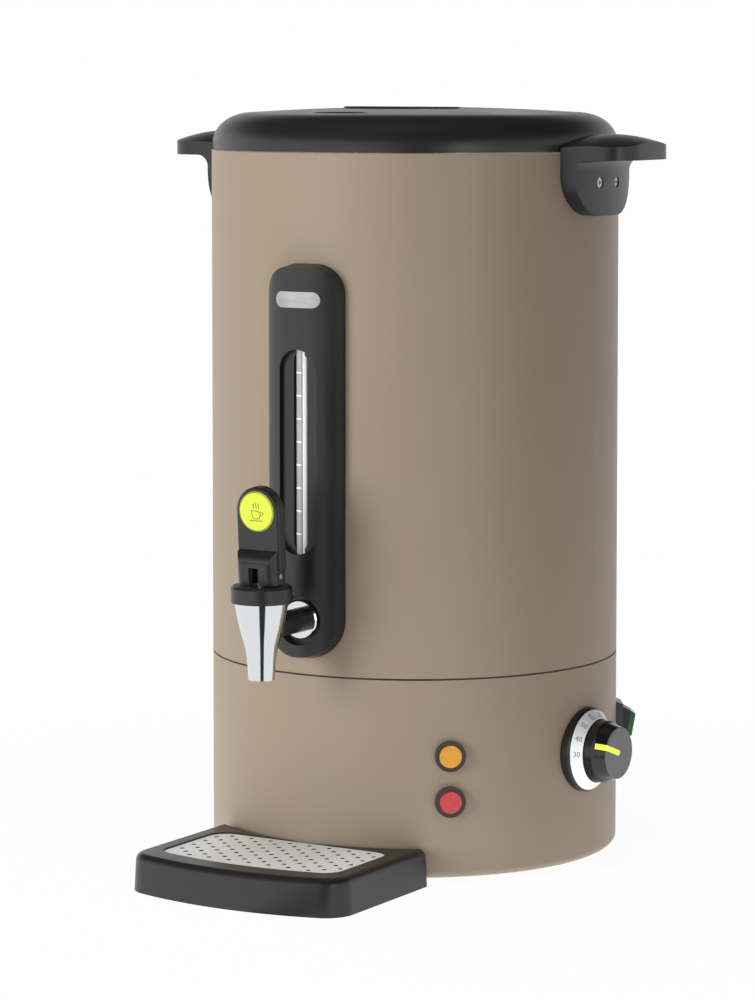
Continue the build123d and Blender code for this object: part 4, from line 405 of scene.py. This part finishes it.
mesh = meshFromTree(tree, gaugeMarks)
mesh.transform(Matrix.Translation((0, tubePaintedLight["axis"], firstMark)))
addPiece("gaugeMarks", mesh, "urn")
heights = [corner.co.z for corner in mesh.vertices]
print("gauge marks made, from", round(min(heights) / mm, 2), "to", round(max(heights) / mm, 2), "mm")

# prisms in the lamps' lenses, square to the amber lens and cornerwise on the red one
lensPrisms = {"count": 14, "pitch": 0.95 * mm, "height": 0.32 * mm, "radius": 5.6 * mm}
lensPlace = {"bearing": 40.0, "seat": 2.92 * mm}
lamps = {
    "amber": {"height": 84.5 * mm, "turn": 45.0, "plastic": amberAcrylic},
    "red": {"height": 54.2 * mm, "turn": 0.0, "plastic": redAcrylic},
}
prismShape = {"sides": 4, "reachShare": 0.68, "turn": 45.0}  # reach of a corner over the pitch
tree, given = startTree("lensPrisms", lensPrisms)
gaps = addNode(tree, "ShaderNodeMath", {0: given["count"], 1: 1.0}, operation="SUBTRACT").outputs["Value"]
side = addNode(tree, "ShaderNodeMath", {0: gaps, 1: given["pitch"]}, operation="MULTIPLY").outputs["Value"]
board = addNode(tree, "GeometryNodeMeshGrid", {
    "Size X": side, "Size Y": side, "Vertices X": given["count"], "Vertices Y": given["count"]})
here = addNode(tree, "GeometryNodeInputPosition").outputs["Position"]
distance = addNode(tree, "ShaderNodeVectorMath", {0: here}, operation="LENGTH").outputs["Value"]
outside = addNode(tree, "ShaderNodeMath", {0: distance, 1: given["radius"]}, operation="GREATER_THAN")
disc = addNode(tree, "GeometryNodeDeleteGeometry", {
    "Geometry": board.outputs["Mesh"], "Selection": outside.outputs["Value"]}).outputs["Geometry"]
reach = addNode(tree, "ShaderNodeMath", {
    0: given["pitch"], 1: prismShape["reachShare"]}, operation="MULTIPLY").outputs["Value"]
prism = addNode(tree, "GeometryNodeMeshCone", {
    "Vertices": prismShape["sides"], "Radius Top": 0.0, "Radius Bottom": reach, "Depth": given["height"]})
prisms = addNode(tree, "GeometryNodeInstanceOnPoints", {
    "Points": disc, "Instance": prism.outputs["Mesh"], "Rotation": (0, 0, radians(prismShape["turn"]))})
for colour, lamp in lamps.items():
    prismTree = tree.copy()
    prismTree.name = colour + "Prisms"
    endTree(prismTree, prismTree.nodes[prisms.name].outputs["Instances"], lamp["plastic"])
    mesh = meshFromTree(prismTree, lensPrisms)
    turned = Matrix.Rotation(radians(lamp["turn"]), 4, "Z")
    mesh.transform(wallPlace(lensPlace["bearing"], lamp["height"], lensPlace["seat"]) @ turned)
    addPiece(colour + "Prisms", mesh, "urn")
print("lens prisms made")

# numbers on the dial; capShare is a digit's height over the font's size
dialNumbers = {"first": 30, "last": 110, "step": 10, "startAngle": 178.5, "stepAngle": 25.0,
               "radius": 24.0 * mm, "ringEdge": 26.75 * mm, "edgeProud": 4.4 * mm, "rise": 5.9 / 5.45,
               "digitHeight": 3.6 * mm, "capShare": 0.73, "inkThickness": 0.03 * mm, "curveSteps": 3}
numbers = range(dialNumbers["first"], dialNumbers["last"] + 1, dialNumbers["step"])
parts = []
for index, number in enumerate(numbers):
    text = bpy.data.curves.new("number", "FONT")
    text.body = str(number)
    text.size = dialNumbers["digitHeight"] / dialNumbers["capShare"]
    text.align_x, text.align_y = "CENTER", "CENTER"
    text.extrude = dialNumbers["inkThickness"]
    text.resolution_u = dialNumbers["curveSteps"]
    angle = radians(dialNumbers["startAngle"] - index * dialNumbers["stepAngle"])
    r = dialNumbers["radius"]
    proud = dialNumbers["edgeProud"] + (dialNumbers["ringEdge"] - r) * dialNumbers["rise"]
    # the ring is a shallow cone, so the ink leans with it; the digits run towards the knob
    place = (wallPlace(knobAxis["bearing"], knobAxis["height"], proud)
             @ Matrix.Rotation(angle - pi, 4, "Z") @ Matrix.Translation((-r, 0, 0))
             @ Matrix.Rotation(-atan2(dialNumbers["rise"], 1), 4, "Y"))
    parts.append((meshFromData(text, "number"), place))
addPiece("dialNumbers", joinMeshes("dialNumbers", parts), "urn", greyInk)
print("dial numbers made")

# print on the lever's disc: a ring, and a plain cup with steam
leverDisc = {"lean": 4.0, "foot": (0, -198.0 * mm, 216.5 * mm), "up": 33.3 * mm, "thickness": 1.0 * mm,
             "ringRadius": 12.45 * mm, "ringSides": 72, "line": 0.22 * mm, "flatten": 0.3}
cupSketch = {
    "bowl": [(-3.4, 0.6), (-3.1, -2.6), (-2.0, -4.4), (0, -4.8), (2.0, -4.4), (3.1, -2.6), (3.4, 0.6),
             (-3.4, 0.6)],
    "handle": [(3.3, -0.3), (5.2, -0.2), (5.4, -1.8), (3.1, -2.4)],
    "saucer": [(-4.6, -5.9), (4.6, -5.9)],
    "steamLeft": [(-1.9, 2.0), (-1.2, 3.0), (-2.5, 4.1), (-1.8, 5.4)],
    "steamMiddle": [(0, 2.0), (0.7, 3.2), (-0.6, 4.5), (0.1, 6.2)],
    "steamRight": [(1.9, 2.0), (2.6, 3.0), (1.3, 4.1), (2.0, 5.4)],
}
lines = bpy.data.curves.new("leverPrint", "CURVE")
lines.dimensions = "3D"
lines.bevel_depth, lines.bevel_resolution, lines.resolution_u = leverDisc["line"], 1, 5
lines.use_fill_caps = True
for name, points in cupSketch.items():
    spline = lines.splines.new("NURBS")
    spline.points.add(len(points) - 1)
    for point, (x, y) in zip(spline.points, points):
        point.co = (x * mm, y * mm, 0, 1)
    spline.order_u = 2 if name == "saucer" else 3
    spline.use_endpoint_u = True
ring = lines.splines.new("POLY")
ring.points.add(leverDisc["ringSides"] - 1)
for index, point in enumerate(ring.points):
    turn = 2 * pi * index / leverDisc["ringSides"]
    point.co = (leverDisc["ringRadius"] * cos(turn), leverDisc["ringRadius"] * sin(turn), 0, 1)
ring.use_cyclic_u = True
mesh = meshFromData(lines, "leverPrint")
lean = radians(leverDisc["lean"])
discUp = Vector((0, -sin(lean), cos(lean)))
discOut = Vector((0, -cos(lean), -sin(lean)))
discMiddle = Vector(leverDisc["foot"]) + discUp * leverDisc["up"] + discOut * leverDisc["thickness"]
discTurn = Matrix((Vector((1, 0, 0)), discUp, discOut)).transposed().to_4x4()
mesh.transform(Matrix.Translation(discMiddle) @ discTurn @ Matrix.Diagonal((1, 1, leverDisc["flatten"], 1)))
addPiece("leverPrint", mesh, "lever", oliveInk)
print("lever print made")

# floor, light and camera; the fades are heights on the unit sphere of directions
studio = {
    "floorRadius": 9.0, "floorSides": 96, "floorColour": "#FFFFFF", "tapFoot": (0, -195 * mm, 0),
    "glowNear": 0.955, "glowFar": 1.0, "nearRadius": 0.25, "farRadius": 0.6,
    "bounce": 0.85, "bounceStrength": 1.8,
    "roomDiffuse": 0.27, "topDiffuse": 0.22, "roomTop": 0.03,
    "fadeFrom": 0.15, "roomFadeTo": 0.55, "diffuseFadeTo": 0.6,
    "gapBearing": 36.0, "gapHalfWidth": 12.0, "gapBlend": 4.0, "gapLevel": 0.04,
}
softboxes = {
    "leftSoftbox": {"bearing": -22, "distance": 2.0, "height": 0.48, "width": 0.62, "tall": 0.95,
                    "power": 19.0, "mirrored": False},
    "leftGleam": {"bearing": -22, "distance": 2.0, "height": 0.48, "width": 0.62, "tall": 0.95,
                  "power": 12.0, "mirrored": True},
    "rightSoftbox": {"bearing": 56, "distance": 2.1, "height": 0.48, "width": 0.40, "tall": 0.95,
                     "power": 2.5, "mirrored": True},
    "topSoftbox": {"bearing": 0, "distance": 0.35, "height": 2.4, "width": 1.0, "tall": 1.0,
                   "power": 31.0, "mirrored": False},
}
aim = Vector((0, 0, 0.26))


def darkSector(tree, direction):
    # 1 all round, and the gap's level within its bearings
    axes = addNode(tree, "ShaderNodeSeparateXYZ", {"Vector": direction}).outputs
    backwards = addNode(tree, "ShaderNodeMath", {0: axes["Y"], 1: -1.0}, operation="MULTIPLY")
    bearing = addNode(tree, "ShaderNodeMath", {
        0: axes["X"], 1: backwards.outputs["Value"]}, operation="ARCTAN2").outputs["Value"]
    offGap = addNode(tree, "ShaderNodeMath", {
        0: bearing, 1: radians(studio["gapBearing"])}, operation="SUBTRACT").outputs["Value"]
    offGap = addNode(tree, "ShaderNodeMath", {0: offGap}, operation="ABSOLUTE").outputs["Value"]
    return addNode(tree, "ShaderNodeMapRange", {
        "Value": offGap, "From Min": radians(studio["gapHalfWidth"]),
        "From Max": radians(studio["gapHalfWidth"] + studio["gapBlend"]),
        "To Min": studio["gapLevel"], "To Max": 1.0}, interpolation_type="SMOOTHSTEP").outputs["Result"]


floor = bpy.data.meshes.new("floor")
disc = bmesh.new()
bmesh.ops.create_circle(disc, cap_ends=True, segments=studio["floorSides"], radius=studio["floorRadius"])
disc.to_mesh(floor)
disc.free()
floorObject = bpy.data.objects.new("floor", floor)
scene.collection.objects.link(floorObject)
floorMaterial = bpy.data.materials.new("paleStudioFloor")
floorMaterial.use_nodes = True
tree = floorMaterial.node_tree
tree.nodes.clear()
seen = addNode(tree, "ShaderNodeLightPath").outputs
clear = addNode(tree, "ShaderNodeMath", {
    0: seen["Is Glossy Ray"], 1: seen["Is Transmission Ray"]}, operation="MAXIMUM").outputs["Value"]
clear = addNode(tree, "ShaderNodeMath", {
    0: clear, 1: seen["Is Camera Ray"]}, operation="MAXIMUM").outputs["Value"]
place = addNode(tree, "ShaderNodeTexCoord").outputs["Object"]
away = addNode(tree, "ShaderNodeVectorMath", {0: place}, operation="LENGTH").outputs["Value"]
glow = addNode(tree, "ShaderNodeMapRange", {
    "Value": away, "From Min": studio["nearRadius"], "From Max": studio["farRadius"],
    "To Min": studio["glowNear"], "To Max": studio["glowFar"]}, interpolation_type="SMOOTHSTEP")
share = addNode(tree, "ShaderNodeMath", {
    0: clear, 1: glow.outputs["Result"]}, operation="MULTIPLY").outputs["Value"]
share = addNode(tree, "ShaderNodeMath", {
    0: share, 1: seen["Is Glossy Ray"]}, operation="MAXIMUM").outputs["Value"]
# the table right under the urn throws some light up at its foot
bounce = addNode(tree, "ShaderNodeMapRange", {
    "Value": away, "From Min": studio["nearRadius"], "From Max": studio["farRadius"],
    "To Min": studio["bounce"], "To Max": 0.0}, interpolation_type="SMOOTHSTEP").outputs["Result"]
share = addNode(tree, "ShaderNodeMath", {0: share, 1: bounce}, operation="MAXIMUM").outputs["Value"]
# mirrors see the floor dark in a sector in front of the tap: a painted reflection of a black flag, which only
# glossy rays see
fromTap = addNode(tree, "ShaderNodeVectorMath", {
    0: place, 1: studio["tapFoot"]}, operation="SUBTRACT").outputs["Vector"]
level = addNode(tree, "ShaderNodeMix", {
    "Factor": seen["Is Diffuse Ray"], "A": 1.0, "B": studio["bounceStrength"]},
    data_type="FLOAT").outputs["Result"]
level = addNode(tree, "ShaderNodeMix", {
    "Factor": seen["Is Glossy Ray"], "A": level, "B": darkSector(tree, fromTap)},
    data_type="FLOAT").outputs["Result"]
dull = addNode(tree, "ShaderNodeBsdfDiffuse", {"Color": linear(studio["floorColour"])}).outputs["BSDF"]
bright = addNode(tree, "ShaderNodeEmission", {"Color": linear(studio["floorColour"]), "Strength": level})
both = addNode(tree, "ShaderNodeMixShader", {"Fac": share, 1: dull, 2: bright.outputs["Emission"]})
addNode(tree, "ShaderNodeOutputMaterial", {"Surface": both.outputs["Shader"]})
floor.materials.append(floorMaterial)

# the room is white all round, dark above, and dark in the sector where its black flag stands
world = bpy.data.worlds.new("studioRoom")
scene.world = world
world.use_nodes = True
tree = world.node_tree
tree.nodes.clear()
seen = addNode(tree, "ShaderNodeLightPath").outputs
way = addNode(tree, "ShaderNodeTexCoord").outputs["Generated"]
axes = addNode(tree, "ShaderNodeSeparateXYZ", {"Vector": way}).outputs
sides = darkSector(tree, way)
ceiling = addNode(tree, "ShaderNodeMapRange", {
    "Value": axes["Z"], "From Min": studio["fadeFrom"], "From Max": studio["roomFadeTo"],
    "To Min": 1.0, "To Max": studio["roomTop"]}, interpolation_type="SMOOTHSTEP").outputs["Result"]
mirrored = addNode(tree, "ShaderNodeMath", {0: sides, 1: ceiling}, operation="MULTIPLY").outputs["Value"]
clear = addNode(tree, "ShaderNodeMath", {
    0: seen["Is Glossy Ray"], 1: seen["Is Transmission Ray"]}, operation="MAXIMUM").outputs["Value"]
# what lights the matt surfaces comes in level, and less of it from above
fromSides = addNode(tree, "ShaderNodeMapRange", {
    "Value": axes["Z"], "From Min": studio["fadeFrom"], "From Max": studio["diffuseFadeTo"],
    "To Min": studio["roomDiffuse"], "To Max": studio["topDiffuse"]},
    interpolation_type="SMOOTHSTEP").outputs["Result"]
level = addNode(tree, "ShaderNodeMix", {
    "Factor": clear, "A": fromSides, "B": mirrored}, data_type="FLOAT").outputs["Result"]
level = addNode(tree, "ShaderNodeMix", {
    "Factor": seen["Is Camera Ray"], "A": level, "B": 1.0}, data_type="FLOAT").outputs["Result"]
room = addNode(tree, "ShaderNodeBackground", {"Color": (1, 1, 1, 1), "Strength": level})
addNode(tree, "ShaderNodeOutputWorld", {"Surface": room.outputs["Background"]})

for name, box in softboxes.items():
    light = bpy.data.lights.new(name, "AREA")
    light.shape = "RECTANGLE"
    light.size, light.size_y, light.energy = box["width"], box["tall"], box["power"]
    b = radians(box["bearing"])
    spot = Vector((sin(b) * box["distance"], -cos(b) * box["distance"], box["height"]))
    turn = (spot - aim).to_track_quat("Z", "Y").to_matrix().to_4x4()
    lightObject = bpy.data.objects.new(name, light)
    lightObject.matrix_world = Matrix.Translation(spot) @ turn
    lightObject.visible_glossy = box["mirrored"]
    scene.collection.objects.link(lightObject)

view = {"place": (1.27546, -2.17196, 0.53642), "turn": 31.008, "pitch": 4.295, "lens": 132.46,
        "sensor": 36, "shift": -0.16, "clipEnd": 40}
camera = bpy.data.cameras.new("camera")
camera.sensor_width, camera.lens, camera.shift_y = view["sensor"], view["lens"], view["shift"]
camera.clip_end = view["clipEnd"]
cameraObject = bpy.data.objects.new("camera", camera)
cameraObject.location = view["place"]
cameraObject.rotation_euler = (radians(90 - view["pitch"]), 0, radians(view["turn"]))
scene.collection.objects.link(cameraObject)
scene.camera = cameraObject
scene.view_settings.view_transform = "Standard"
print("studio set")
